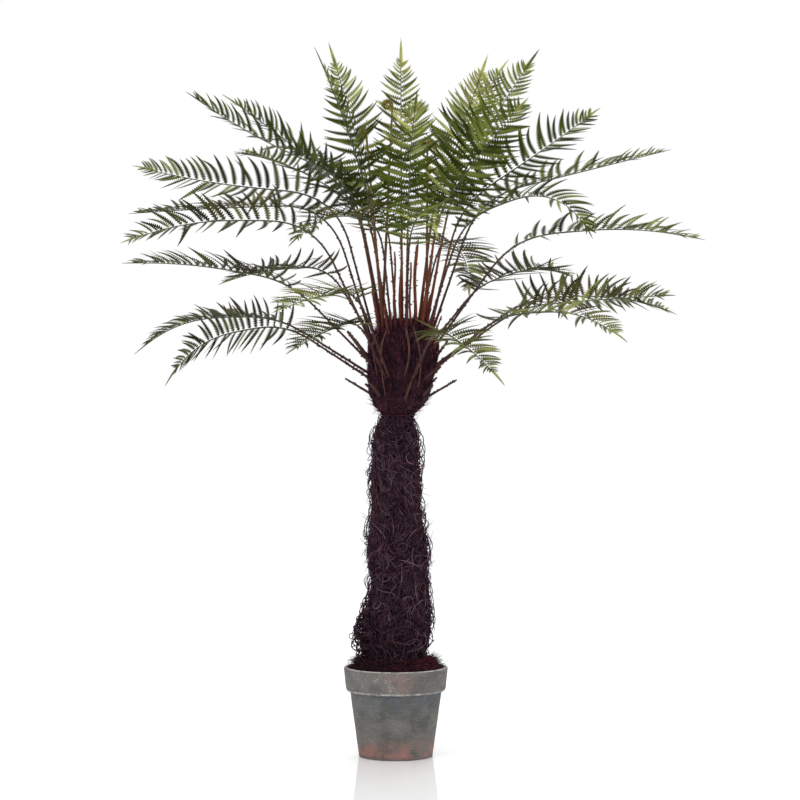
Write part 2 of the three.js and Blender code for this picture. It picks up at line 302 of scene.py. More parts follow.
def strands(
    root: Array, direction: Array, length: Array, bend: Array, thickness: Array, steps: int
) -> tuple[Array, ...]:
    """Short tapering three-sided fibres: place(s) = root + length (s direction + s² bend).

    Args:
        root: Where each fibre starts, (n, 3).
        direction: Unit direction in which it sets out, (n, 3).
        length: Its length, (n,).
        bend: How far its tip strays, as a share of its length, (n, 3).
        thickness: Its radius at the root, (n,).
        steps: Points along it.

    Returns:
        Corners and faces, as tubes gives them.
    """
    s = np.linspace(0.0, 1.0, steps)[None, :, None]
    paths = root[:, None] + length[:, None, None] * (s * direction[:, None] + s**2 * bend[:, None])
    radii = thickness[:, None] * (1.0 - 0.75 * s[..., 0])
    return tubes(paths, radii, 3)


def picked(chosen: Array, *arrays: Array) -> list[Array]:
    """Only the chosen rows of each array."""
    return [rows[chosen] for rows in arrays]


# ---- finishes


BRUSH_STREAK = (5.0, 5.0, 1.0)
BRUSH_RELIEF = (6.0, 6.0, 1.0)
SHADED_FOOT = (200.0, 340.0)


def colour(code: str, light: float = 1.0) -> Colour:
    """Linear colour: c / 12.92 up to 0.04045, and above it ((c + 0.055) / 1.055)^2.4.

    Args:
        code: Colour as #rrggbb.
        light: Factor by which it is made lighter or darker.

    Returns:
        Red, green, blue and 1.
    """
    shares = [int(code[i : i + 2], 16) / 255.0 for i in (1, 3, 5)]
    linear = [c / 12.92 if c <= 0.04045 else ((c + 0.055) / 1.055) ** 2.4 for c in shares]
    red, green, blue = (min(c * light, 1.0) for c in linear)
    return red, green, blue, 1.0


class Graph:
    """Node tree of one material, with short makers for the nodes that the finishes share."""

    def __init__(self, name: str) -> None:
        """Makes a material with its shader and its object coordinates.

        Args:
            name: Name of the material.
        """
        self.material = bpy.data.materials.new(name)
        self.material.use_nodes = True
        self.tree = self.material.node_tree
        self.shader = self.tree.nodes["Principled BSDF"]
        self.place = self.node("ShaderNodeTexCoord", {}).outputs["Object"]

    def node(self, kind: str, inputs: dict, **settings: object) -> bpy.types.Node:
        """Adds a node.

        Args:
            kind: Blender's name for the node's type.
            inputs: Value or linked socket for each input, by name or number.
            settings: Properties of the node.

        Returns:
            The new node.
        """
        made = self.tree.nodes.new(kind)
        for key, value in settings.items():
            setattr(made, key, value)
        for key, value in inputs.items():
            if isinstance(value, Socket):
                self.tree.links.new(value, made.inputs[key])
            else:
                made.inputs[key].default_value = value
        return made

    def noise(
        self, size: float, detail: float = 3.0, stretch: Place = (1.0, 1.0, 1.0), shift: float = 0.0
    ) -> Socket:
        """Noise whose patches measure about a size.

        Args:
            size: Size of a patch in millimetres.
            detail: Octaves of finer noise.
            stretch: Factor by which patches are drawn out along X, Y and Z.
            shift: Distance by which the pattern is moved, so that two noises differ.

        Returns:
            The noise, about 0.25 to 0.75.
        """
        scale = [1.0 / (size * METRE * s) for s in stretch]
        mapping = {"Vector": self.place, "Location": (shift,) * 3, "Scale": scale}
        moved = self.node("ShaderNodeMapping", mapping).outputs[0]
        inputs = {"Vector": moved, "Scale": 1.0, "Detail": detail}
        return self.node("ShaderNodeTexNoise", inputs).outputs[0]

    def ramp(
        self, value: Socket, low: float, high: float, start: float = 0.0, end: float = 1.0
    ) -> Socket:
        """Smooth rise from start to end as a value goes from low to high."""
        inputs = {"Value": value, 1: low, 2: high, 3: start, 4: end}
        return self.node("ShaderNodeMapRange", inputs, interpolation_type="SMOOTHSTEP").outputs[0]

    def times(self, a: Socket, b: Socket | float) -> Socket:
        """Product of two values."""
        return self.node("ShaderNodeMath", {0: a, 1: b}, operation="MULTIPLY").outputs[0]

    def plus(self, a: Socket, b: Socket) -> Socket:
        """Sum of two values."""
        return self.node("ShaderNodeMath", {0: a, 1: b}, operation="ADD").outputs[0]

    def blend(self, share: Socket, a: Socket | Colour, b: Socket | Colour) -> Socket:
        """Colour that goes from a to b as the share goes from 0 to 1."""
        return self.node("ShaderNodeMix", {0: share, 6: a, 7: b}, data_type="RGBA").outputs[2]

    def rise(self, low: float, high: float, start: float = 0.0, end: float = 1.0) -> Socket:
        """Smooth rise from start to end between two heights above the ground, in millimetres."""
        height = self.node("ShaderNodeSeparateXYZ", {0: self.place}).outputs[2]
        return self.ramp(height, low * METRE, high * METRE, start, end)

    def distance(self, point: Place) -> Socket:
        """Distance in metres from a point that is given in millimetres."""
        inputs = {0: self.place, 1: [c * METRE for c in point]}
        return self.node("ShaderNodeVectorMath", inputs, operation="DISTANCE").outputs["Value"]

    def finish(
        self, base: Socket, roughness: Socket, relief: Socket, depth: float, **fixed: float
    ) -> Material:
        """Sets the shader.

        Args:
            base: Base colour.
            roughness: Roughness.
            relief: Height of the fine relief, 0 to 1.
            depth: Depth of that relief in millimetres.
            fixed: Plain values for the shader's other inputs, with _ for a space.

        Returns:
            The finished material.
        """
        inputs = {"Height": relief, "Distance": depth * METRE, "Strength": 1.0}
        bump = self.node("ShaderNodeBump", inputs)
        self.tree.links.new(base, self.shader.inputs["Base Color"])
        self.tree.links.new(roughness, self.shader.inputs["Roughness"])
        self.tree.links.new(bump.outputs[0], self.shader.inputs["Normal"])
        for key, value in fixed.items():
            self.shader.inputs[key.replace("_", " ")].default_value = value
        return self.material


@dataclass(frozen=True)
class FibreFinish:
    """Matt vegetable fibre: two tones in soft patches, with a fine grain.

    Attributes:
        name: Name of the material.
        dark: Colour in the hollows.
        light: Colour of the worn strands.
        patch: Size of the colour patches in millimetres.
        grain: Size of the grain in millimetres.
        gloss: Specular level.
        shade: Share by which it is darkened at the foot of the trunk.
    """

    name: str
    dark: str
    light: str
    patch: float = 22.0
    grain: float = 1.6
    gloss: float = 0.08
    shade: float = 0.0

    def material(self) -> Material:
        """Draws the nodes of the surface.

        Returns:
            The material.
        """
        graph = Graph(self.name)
        patches = graph.ramp(graph.noise(self.patch), 0.34, 0.68)
        grain = graph.noise(self.grain, 2.0, shift=3.0)
        both = graph.plus(graph.times(patches, 0.65), graph.times(grain, 0.7))
        base = graph.blend(graph.ramp(both, 0.3, 0.95), colour(self.dark), colour(self.light))
        if self.shade > 0.0:
            low = graph.rise(*SHADED_FOOT, self.shade, 0.0)
            base = graph.blend(low, base, colour(self.dark, 0.3))
        roughness = graph.ramp(grain, 0.3, 0.7, 0.95, 0.78)
        return graph.finish(base, roughness, grain, 0.5, Specular_IOR_Level=self.gloss)


@dataclass(frozen=True)
class LeafFinish:
    """Printed leaf fabric: one green, clouded and veined, with a faint gloss.

    Attributes:
        name: Name of the material.
        tone: The green.
    """

    name: str
    tone: str

    def material(self) -> Material:
        """Draws the nodes of the surface.

        Returns:
            The material.
        """
        graph = Graph(self.name)
        cloud = graph.ramp(graph.noise(34.0), 0.36, 0.64)
        vein = graph.noise(2.6, 2.0, shift=5.0)
        base = graph.blend(cloud, colour(self.tone, 0.66), colour(self.tone, 1.24))
        flecked = graph.blend(graph.ramp(vein, 0.5, 0.72, 0.0, 0.4), base, colour(self.tone, 1.8))
        roughness = graph.ramp(vein, 0.3, 0.7, 0.5, 0.66)
        return graph.finish(flecked, roughness, vein, 0.22, Specular_IOR_Level=0.04)


@dataclass(frozen=True)
class StalkFinish:
    """Moulded stalk, dark red-brown at the crown and olive where the blade begins.

    Attributes:
        name: Name of the material.
        foot: Colour at the crown.
        middle: Colour half way up.
        top: Colour at the blade.
        centre: Middle of the crown, in millimetres.
        spans: Distances from it at which the middle and the top colour are reached, in metres.
    """

    name: str
    foot: str
    middle: str
    top: str
    centre: Place = (15.0, 0.0, 830.0)
    spans: Place = (0.10, 0.20, 0.33)

    def material(self) -> Material:
        """Draws the nodes of the surface.

        Returns:
            The material.
        """
        graph = Graph(self.name)
        away = graph.distance(self.centre)
        near = graph.ramp(away, self.spans[0], self.spans[1])
        far = graph.ramp(away, self.spans[1], self.spans[2])
        base = graph.blend(near, colour(self.foot), colour(self.middle))
        base = graph.blend(far, base, colour(self.top))
        cloud = graph.ramp(graph.noise(14.0, 4.0), 0.4, 0.68, 0.0, 0.55)
        base = graph.blend(cloud, base, colour(self.foot, 0.4))
        fleck = graph.noise(1.8, 2.0, shift=2.0)
        base = graph.blend(graph.ramp(fleck, 0.58, 0.7, 0.0, 0.4), base, colour(self.middle, 1.9))
        roughness = graph.ramp(fleck, 0.3, 0.7, 0.45, 0.7)
        return graph.finish(base, roughness, fleck, 0.4, Specular_IOR_Level=0.18)


@dataclass(frozen=True)
class PotFinish:
    """Grey lime wash brushed over terracotta, worn through at the foot, the collar and the edges.

    Attributes:
        name: Name of the material.
        height: Height of the pot in millimetres.
        collar_foot: Height of the collar's lower edge.
        patch: Point of the collar where the clay shows through.
    """

    name: str
    height: float
    collar_foot: float
    patch: Place = (8.0, -106.0, 162.0)

    def wash(self, graph: Graph) -> Socket:
        """Clouded grey wash with brush streaks, paler on the collar, and a blue-grey band that
        deepens up to the collar's lower edge: partly the wash's own colour, partly painted shade
        under the collar.

        Args:
            graph: Node tree to draw in.

        Returns:
            Its colour.
        """
        foot = self.collar_foot
        cloud = graph.ramp(graph.noise(46.0, 5.0), 0.36, 0.66)
        base = graph.blend(cloud, colour("#4e4f4d"), colour("#696662"))
        streak = graph.ramp(graph.noise(3.2, 4.0, BRUSH_STREAK, 1.0), 0.52, 0.72, 0.0, 0.4)
        base = graph.blend(streak, base, colour("#837f7b"))
        base = graph.blend(graph.rise(foot - 1.0, foot + 3.0, 0.0, 0.12), base, colour("#8e8885"))
        # Blue-grey band under the collar, strongest at its lower edge: partly the wash's own
        # colour, partly painted shade of the overhang.
        under = graph.times(graph.rise(85.0, foot), graph.rise(foot, foot + 4.0, 1.0, 0.0))
        bloom = graph.ramp(graph.noise(38.0, shift=7.0), 0.34, 0.58, 0.0, 0.85)
        return graph.blend(graph.times(under, bloom), base, colour("#4c565d"))

    def clay(self, graph: Graph, base: Socket) -> Socket:
        """Clay that shows through near the foot and on the collar.

        Args:
            graph: Node tree to draw in.
            base: Colour that it lies in.

        Returns:
            The colour with it.
        """
        blot = graph.ramp(graph.noise(30.0, 5.0, shift=11.0), 0.34, 0.6)
        foot = graph.times(graph.rise(8.0, 52.0, 0.85, 0.0), graph.rise(1.0, 12.0, 0.25))
        base = graph.blend(graph.times(blot, foot), base, colour("#98685e"))
        spot = graph.ramp(graph.distance(self.patch), 0.01, 0.05, 0.7, 0.0)
        spots = graph.times(spot, graph.ramp(graph.noise(18.0, 4.0, shift=4.0), 0.36, 0.66))
        base = graph.blend(spots, base, colour("#846b65"))
        stain = graph.ramp(graph.noise(24.0, 4.0, shift=19.0), 0.54, 0.74, 0.0, 0.35)
        return graph.blend(stain, base, colour("#6c5f5a"))

    def wear(self, graph: Graph, base: Socket) -> Socket:
        """Pale worn edges and scattered chips of lime, most of them on the collar.

        Args:
            graph: Node tree to draw in.
            base: Colour that they lie on.

        Returns:
            The colour with them.
        """
        foot = self.collar_foot
        rub = graph.ramp(graph.noise(9.0, 4.0, shift=6.0), 0.36, 0.6, 0.25, 1.0)
        rim = graph.rise(self.height - 2.4, self.height - 0.6, 0.0, 0.85)
        low, high = graph.rise(foot, foot + 1.2), graph.rise(foot + 2.5, foot + 6.0, 0.7, 0.0)
        edges = graph.plus(rim, graph.times(low, high))
        base = graph.blend(graph.times(edges, rub), base, colour("#c2c0bb"))
        place = graph.ramp(graph.noise(26.0, 2.0, shift=13.0), 0.52, 0.64)
        chips = graph.times(graph.ramp(graph.noise(2.4, shift=9.0), 0.6, 0.66), place)
        chips = graph.times(chips, graph.rise(foot - 8.0, foot, 0.25))
        return graph.blend(chips, base, colour("#cfccc8"))

    def material(self) -> Material:
        """Draws the nodes of the surface.

        Returns:
            The material.
        """
        graph = Graph(self.name)
        base = self.wear(graph, self.clay(graph, self.wash(graph)))
        grain = graph.noise(2.2, 6.0, shift=15.0)
        brush = graph.noise(2.6, 4.0, BRUSH_RELIEF, 1.0)
        relief = graph.plus(graph.times(grain, 0.6), graph.times(brush, 0.5))
        dirt = graph.ramp(grain, 0.4, 0.62, 0.35, 0.0)
        base = graph.blend(dirt, base, colour("#41403f"))
        roughness = graph.ramp(grain, 0.3, 0.7, 0.9, 0.7)
        return graph.finish(base, roughness, relief, 0.5, Specular_IOR_Level=0.3)


# ---- the plant's axis, trunk and crown as columns


# Rows of height and of the axis's place along X there.
AXIS_DRIFT = (
    (0, 0), (223, -2), (340, 7), (450, 4), (560, 0), (683, -1), (711, 4), (750, 9), (830, 15),
    (911, 18),
)


@dataclass(frozen=True)
class Column:
    """Upright body round the plant's drifting axis, its skin swelling in and out.

    Attributes:
        outline: Rows of height and radius, from the foot to the top.
        swell: Share of the radius by which the skin waves.
    """

    outline: Rows
    swell: float

    @property
    def foot(self) -> float:
        """Height of its lowest row."""
        return self.outline[0][0]

    @property
    def top(self) -> float:
        """Height of its highest row."""
        return self.outline[-1][0]

    def radius(self, angle: Array, height: Array) -> Array:
        """Outline radius x (1 + swell (0.6 sin(3 angle + z/47) + 0.4 sin(5 angle - z/29)))."""
        wave = 0.6 * np.sin(3.0 * angle + height / 47.0) + 0.4 * np.sin(5.0 * angle - height / 29.0)
        return table(self.outline, height) * (1.0 + self.swell * wave)

    def point(self, angle: Array, height: Array, lift: Array | float = 0.0) -> Array:
        """Points on the skin: (drift + r cos angle, r sin angle, height).

        Args:
            angle: Angle round the axis, in radians.
            height: Height above the ground.
            lift: How far the points stand off the skin.

        Returns:
            The points, (..., 3).
        """
        r = self.radius(angle, height) + lift
        x = table(AXIS_DRIFT, height) + r * np.cos(angle)
        return np.stack([x, r * np.sin(angle), height + 0.0 * r], axis=-1)


TRUNK = Column(
    (
        (203.35, 68), (222, 70), (244, 73), (286, 71), (318, 65), (349, 59), (390, 61), (425, 63),
        (453, 62), (480, 57), (510, 53), (540, 51), (575, 52), (610, 50), (645, 49), (668, 48),
        (688, 41), (702, 35), (711, 33),
    ),
    0.055,
)
CROWN = Column(
    (
        (711.35, 33), (720, 40), (733, 52), (750, 61), (770, 66), (800, 70), (830, 72), (860, 72),
        (885, 69), (900, 63), (911, 50),
    ),
    0.03,
)


def seat(azimuth: Array, height: Array) -> Array:
    """Points inside the crown from which stalks and stubs set out.

    Args:
        azimuth: Direction from the axis, in degrees.
        height: Height above the ground.

    Returns:
        The points, at a share of the crown's radius, (..., 3).
    """
    reach = SEAT_DEPTH * table(CROWN.outline, height)
    level = heading(azimuth, 0.0) * np.asarray(reach)[..., None]
    shift = np.stack([table(AXIS_DRIFT, height), 0.0 * reach, height + 0.0 * reach], axis=-1)
    return level + shift


# ---- fronds: the lines that they follow


RIB_STEPS = 96
BLADE_START = 0.41
BEND_START = 0.28
BEND_SPAN = 0.30
DROOP_START = 0.58


@dataclass(frozen=True)
class Rib:
    """Line of a frond from its seat to its tip, with its own directions at each step."""

    points: Array
    forward: Array
    side: Array
    up: Array

    def at(self, places: Array) -> tuple[Array, Array, Array, Array]:
        """Values at some places of the rib, straight between its steps.

        Args:
            places: Places from 0, the seat, to 1, the tip.

        Returns:
            Point, forward, side and up at each.
        """
        steps = np.linspace(0.0, 1.0, len(self.points))

        def between(rows: Array) -> Array:
            """One of the rib's rows of vectors at the places."""
            return np.stack([np.interp(places, steps, rows[:, k]) for k in range(3)], axis=-1)

        return between(self.points), between(self.forward), between(self.side), between(self.up)


@dataclass(frozen=True)
class Frond:
    """One frond, in degrees and millimetres: it rises, bends level, and droops.

    Attributes:
        azimuth: Direction in which it leaves the crown.
        height: Height of its seat.
        rise: Elevation of its stalk.
        level: Elevation of its blade.
        droop: Elevation of its tip.
        length: Length from seat to tip.
        sway: Change of azimuth from seat to tip.
        roll: Turn of the blade about its rib.
        slimness: From 0, a broad blade, to 1, a slim one with a long bare tip.
    """

    azimuth: float
    height: float
    rise: float
    level: float
    droop: float
    length: float
    sway: float
    roll: float
    slimness: float

    def rib(self) -> Rib:
        """Line of the rib.

        Elevation(t) = rise + (level - rise) smooth((t - 0.28) / 0.3) + (droop - level)
        smooth((t - 0.58) / 0.42), azimuth(t) = azimuth + sway t², and each step adds the forward
        direction. The blade is turned about the rib by its roll, reached where the blade starts.

        Returns:
            The line with its directions.
        """
        t = np.linspace(0.0, 1.0, RIB_STEPS + 1)
        bend = (self.level - self.rise) * smooth((t - BEND_START) / BEND_SPAN)
        fall = (self.droop - self.level) * smooth((t - DROOP_START) / (1.0 - DROOP_START))
        turn = self.azimuth + self.sway * t * t
        forward = heading(turn, self.rise + bend + fall)
        across = heading(turn + 90.0, 0.0)
        twist = math.radians(self.roll) * smooth(t / BLADE_START)[:, None]
        side = across * np.cos(twist) + np.cross(forward, across) * np.sin(twist)
        steps = forward[:-1] * self.length / RIB_STEPS
        start = seat(np.array(self.azimuth), np.array(self.height))
        points = start + np.concatenate([np.zeros((1, 3)), np.cumsum(steps, axis=0)])
        return Rib(points, forward, side, np.cross(forward, side))


FRONDS = tuple(
    Frond(*row)
    for row in (
        (205, 893, 84, 70, 64, 602, 0, -10, 1), (165, 898, 85, 75, 72, 612, 0, -72, 1.15),
        (96, 900, 88, 87, 90, 608, 0, 0, 1.1), (-84, 900, 84, 76, 60, 490, 10, 0, 0.6),
        (28, 900, 82, 70, 68, 600, 0, 58, 0.9), (48, 898, 80, 58, 50, 650, -16, 34, 0.7),
        (-18, 893, 79, 60, 53, 632, 0, -52, 0.7), (18, 862, 76, 33, 36, 676, 0, 40, 0.2),
        (-42, 893, 79, 44, 38, 565, 0, -40, 0.2), (2, 862, 71, 14, 14, 724, 0, 12, 0),
        (-30, 872, 70, 17, -58, 588, 0, 10, 0), (-8, 835, 54, 4.5, -12, 692, 0, 12, 0),
        (40, 835, 44, 15, -14, 505, 0, 12, 0.2), (28, 797, 33, 2, -17, 690, 0, 28, 0.3),
        (-22, 795, 34, 4, 2, 582, 0, 28, 0.3), (-46, 777, 31, 2, -30, 622, 0, 12, 0.6),
        (-72, 765, 37, -18, -38, 490, 24, 10, 1.3), (-84, 861, 79, 20, -50, 495, 14, 0, 1.2),
        (197, 890, 79, 23, 33, 695, 0, -28, 0), (184, 893, 79, 40, 34, 622, 0, -30, 0.5),
        (178, 845, 75, 5.5, 14, 746, 0, -42, 0), (140, 868, 76, 25, 9, 676, 0, -10, 0),
        (165, 822, 72, -1, -3, 772, 0, -6, 0), (194, 830, 64, 0, -20, 704, 0, -32, 0),
        (208, 800, 42, 8, -2, 645, 0, -12, 0.3), (186, 788, 32, -1, -40, 560, 0, -4, 0.6),
        (158, 775, 31, -9, -55, 580, 0, -55, 1), (240, 775, 48, -14, -26, 410, -16, 0, 0.8),
        (247, 776, 47, -6, -14, 590, -8, -6, 0.6), (142, 835, 52, -2, -14, 555, 0, -12, 0.5),
        (243, 868, 78, 0, -36, 555, -16, 0, 0.5), (66, 850, 58, -10, -38, 650, 24, 8, 0.3),
        (102, 850, 70, 22, 0, 640, 0, -8, 0.2), (122, 868, 72, 34, 6, 660, 0, 6, 0.3),
    )
)


class Shade(Enum):
    """Greens of the leaflets: greyish ones, then clear ones, each from dark to pale."""

    SHADOW = "#2b2917"
    DUSK = "#3b3b20"
    OLIVE = "#545631"
    SAGE = "#737944"
    FOREST = "#2c3511"
    GREEN = "#3f4917"
    FRESH = "#5c652e"
    LIGHT = "#7f844a"
    YOUNG = "#989b56"


# ---- leaflets


@dataclass(frozen=True)
class LeafletOutline:
    """Outline of a lobed leaflet, as shares of its length and half width.

    Attributes:
        lobes: Lobes on each side.
        first_notch: Depth at which the notches start at the foot, as a share of the half width.
        last_notch: Depth at the tip, where the lobes run together.
    """

    lobes: int
    first_notch: float = 0.2
    last_notch: float = 0.52

    def shape(self) -> tuple[Array, Array, Array, Array]:
        """Corners and faces of the flat leaflet.

        Half width(s) = min(1, 0.62 + 2.2 s) (1 - s^2.1)^0.9. Notch i stands at 0.015 + 0.97 (1 -
        (1 - i/n)^1.15), and each lobe leans forward by a share of its own half width.

        Returns:
            Place along (v,), share of the half width, -1 to 1 (v,), faces of six, faces of three.
        """
        n = self.lobes
        notch = 0.015 + 0.97 * (1.0 - (1.0 - np.arange(n + 1) / n) ** 1.15)
        span = np.diff(notch)
        lean = 0.30 * span
        stations = [notch, notch, notch[:-1] + 0.26 * span + lean, notch[:-1] + 0.56 * span + lean]
        depth = self.first_notch + (self.last_notch - self.first_notch) * notch
        shares = [0.0 * notch, depth, np.full(n, 0.88), np.full(n, 1.0)]
        s = np.concatenate(stations)
        y = np.concatenate(shares) * np.minimum(1.0, 0.62 + 2.2 * s)
        y = y * (1.0 - np.minimum(s, 1.0) ** 2.1) ** 0.9
        rib, cut = np.arange(n + 1), np.arange(n + 1) + n + 1
        near, far = np.arange(n) + 2 * n + 2, np.arange(n) + 3 * n + 2
        lobe = np.stack([rib[:-1], rib[1:], cut[1:], far, near, cut[:-1]], axis=1)
        count = len(s)
        mirror = np.concatenate([rib, np.arange(n + 1, count) + count - n - 1])
        lobes = np.concatenate([mirror[lobe], lobe[:, ::-1]])
        tip = 2 * count - n - 1
        ends = np.array([[rib[-1], tip, mirror[cut[-1]]], [tip, rib[-1], cut[-1]]])
        s = np.concatenate([s, s[n + 1 :], [1.0]])
        y = np.concatenate([-y, y[n + 1 :], [0.0]])
        return s, y, lobes, ends


@dataclass
class Leaflets:
    """Many leaflets, as arrays of one row each.

    Attributes:
        root: Place on the rib.
        along: Unit direction in which it sets out.
        normal: Unit direction square to its face.
        length: Length of its midrib.
        half_width: Half its width.
        curl: Turn of the midrib from foot to tip, in radians.
        droop: How far its tip sinks, as a share of its length.
        owner: Number of its frond, from 0.
        blade_place: Place down the blade, from 0 to 1.
    """

    root: Array
    along: Array
    normal: Array
    length: Array
    half_width: Array
    curl: Array
    droop: Array
    owner: Array
    blade_place: Array

    def pick(self, chosen: Array) -> "Leaflets":
        """Only the chosen rows."""
        return Leaflets(*picked(chosen, *vars(self).values()))

    @staticmethod
    def joined(parts: list["Leaflets"]) -> "Leaflets":
        """All the rows of several sets."""
        columns = zip(*(vars(part).values() for part in parts))
        return Leaflets(*(np.concatenate(column) for column in columns))

    def place(self, s: Array, y: Array, crease: float = 0.34) -> Array:
        """Points of the leaflets for places of their outline.

        The midrib is an arc that turns by the curl from foot to tip: length (sin(curl s) / curl)
        along and length ((1 - cos(curl s)) / curl) across. A share y of the half width lies square
        to it and is lifted by the crease, and the whole sinks by droop s² of its length.

        Args:
            s: Places along, (v,).
            y: Shares of the half width, (v,).
            crease: Lift of the leaflet's edge, as a share of its half width.

        Returns:
            Points, (leaflets, v, 3).
        """
        across = np.cross(self.normal, self.along)
        turn = self.curl[:, None] * s
        wide = self.half_width[:, None] * y
        x = self.length[:, None] * np.sin(turn) / self.curl[:, None] - wide * np.sin(turn)
        z = self.length[:, None] * (1.0 - np.cos(turn)) / self.curl[:, None] + wide * np.cos(turn)
        h = crease * np.abs(wide) - self.droop[:, None] * self.length[:, None] * s**2
        return (
            self.root[:, None]
            + x[..., None] * self.along[:, None]
            + z[..., None] * across[:, None]
            + h[..., None] * self.normal[:, None]
        )


@dataclass
class FrondCrown:
    """All the fronds: stalks with their knobs, ribs, leaflets in several greens and toothed tips.

    Attributes:
        pairs: Pairs of leaflets of a frond.
        first: Place of the first leaflets on the rib.
        last: Place of the last ones on a broad blade; a slim one ends sooner by 0.045.
        leaflet_length: Length of the longest leaflet.
        leaflet_width: Its half width.
        broad: Rows of place down a broad blade and share of the longest leaflet.
        slim: The same rows of a slim blade.
        fold: Degrees by which the leaflets rise from the blade's plane.
        clearance: Distance that a leaflet keeps from another frond's limb.
        lobes: Rows of least length of a leaflet and lobes on each of its sides.
        thorns: Number of thorns of a stalk.
        fresh: Numbers, from 0, of the fronds whose leaflets are young and pale.
        clear_level: Elevation of a blade above which its greens are mostly clear.
        inner_level: Elevation above which its stalk is one of the stout inner ones.
        tip_level: Elevation above which its tip takes a pale green.
        seed: Number that sets the small differences.
    """

    pairs: int = 27
    first: float = 0.414
    last: float = 0.965
    leaflet_length: float = 92.0
    leaflet_width: float = 7.4
    broad: Rows = (
        (0, 0.66), (0.12, 0.86), (0.28, 1), (0.46, 0.98), (0.62, 0.86), (0.75, 0.68),
        (0.86, 0.44), (0.94, 0.22), (1, 0.07),
    )
    slim: Rows = (
        (0, 0.62), (0.12, 0.8), (0.28, 0.88), (0.46, 0.78), (0.62, 0.62), (0.75, 0.42),
        (0.84, 0.22), (0.9, 0.08), (1, 0.05),
    )
    fold: float = 18.0
    clearance: float = 3.2
    lobes: tuple[tuple[float, int], ...] = ((58.0, 16), (30.0, 12), (0.0, 8))
    thorns: int = 40
    fresh: tuple[int, ...] = (4, 17, 28)
    clear_level: float = 16.0
    inner_level: float = 24.0
    tip_level: float = 30.0
    seed: int = 11
    ribs: list[Rib] = field(default_factory=lambda: [frond.rib() for frond in FRONDS])

    def nodes(self, without: str) -> list[str]:
        """Frame nodes of the fronds, without those whose names have this ending."""
        names = sorted(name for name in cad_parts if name.startswith("frond_"))
        return [name for name in names if not name.endswith(without)]

    def one_side(
        self, rng: np.random.Generator, owner: int, hand: float, places: Array
    ) -> Leaflets:
        """Leaflets of one side of a blade.

        A leaflet sets out at sweep = 4 + 46 b degrees from square to the rib, b its place down the
        blade, less half its curl, and rises by the fold.

        Args:
            rng: Source of the random numbers.
            owner: Number of the frond, from 0.
            hand: 1 or -1 for the two sides.
            places: Places on the rib.

        Returns:
            The leaflets.
        """
        count = len(places)
        slimness = FRONDS[owner].slimness
        stagger = places + 0.004 * hand + rng.normal(0.0, 0.0012, count)
        point, forward, side, up = self.ribs[owner].at(stagger)
        b = (stagger - BLADE_START) / (1.0 - BLADE_START)
        share = (1.0 - slimness) * table(self.broad, b) + slimness * table(self.slim, b)
        length = self.leaflet_length * np.maximum(share, 0.02) * rng.normal(1.0, 0.06, count)
        curl = np.radians(np.clip(rng.normal(26.0, 11.0, count), 6.0, 60.0))
        sweep = np.radians(4.0 + 46.0 * b + rng.normal(0.0, 5.0, count)) - curl / 2
        fold = np.radians(self.fold + rng.normal(0.0, 7.0, count))
        across, rise = np.cos(sweep) * np.cos(fold), np.cos(sweep) * np.sin(fold)
        along = forward * np.sin(sweep)[:, None]
        along = along + side * (hand * across)[:, None] + up * rise[:, None]
        raised = up * np.cos(fold)[:, None] - hand * side * np.sin(fold)[:, None]
        normal = unit(raised - np.sum(raised * along, axis=1, keepdims=True) * along)
        twist = rng.normal(0.0, 0.2, count)[:, None]
        normal = normal * np.cos(twist) + np.cross(along, normal) * np.sin(twist)
        return Leaflets(
            root=point + up * 0.6 + hand * side * 0.6,
            along=unit(along),
            normal=normal,
            length=length,
            half_width=self.leaflet_width * (length / self.leaflet_length) ** 0.55,
            curl=-hand * curl,
            droop=rng.normal(0.08, 0.07, count),
            owner=np.full(count, owner),
            blade_place=b,
        )

    def grow(self) -> Leaflets:
        """Grows every frond's leaflets and drops those that would touch another's limb.

        Returns:
            The leaflets that are left.
        """
        rng = np.random.default_rng(self.seed)
        way = 1.0 - (1.0 - (np.arange(self.pairs) + 0.5) / self.pairs) ** 1.4
        sides = []
        for owner, frond in enumerate(FRONDS):
            places = self.first + (self.last - 0.045 * frond.slimness - self.first) * way
            sides += [self.one_side(rng, owner, hand, places) for hand in (1.0, -1.0)]
        grown = Leaflets.joined(sides)
        return grown.pick(self.clear(grown))

    def clear(self, leaflets: Leaflets) -> Array:
        """Finds the leaflets whose midribs stay clear of the other fronds' limbs.

        Args:
            leaflets: All the leaflets.

        Returns:
            True for each that does.
        """
        line = leaflets.place(np.linspace(0.15, 1.0, 6), np.zeros(6))
        free = np.ones(len(line), bool)
        for owner, rib in enumerate(self.ribs):
            others = np.flatnonzero(leaflets.owner != owner)
            gap = np.linalg.norm(line[others][:, :, None] - rib.points[None, None], axis=-1)
            free[others] &= gap.min(axis=(1, 2)) > self.clearance
        LOG.info("leaflets: %d kept of %d", free.sum(), len(free))
        return free

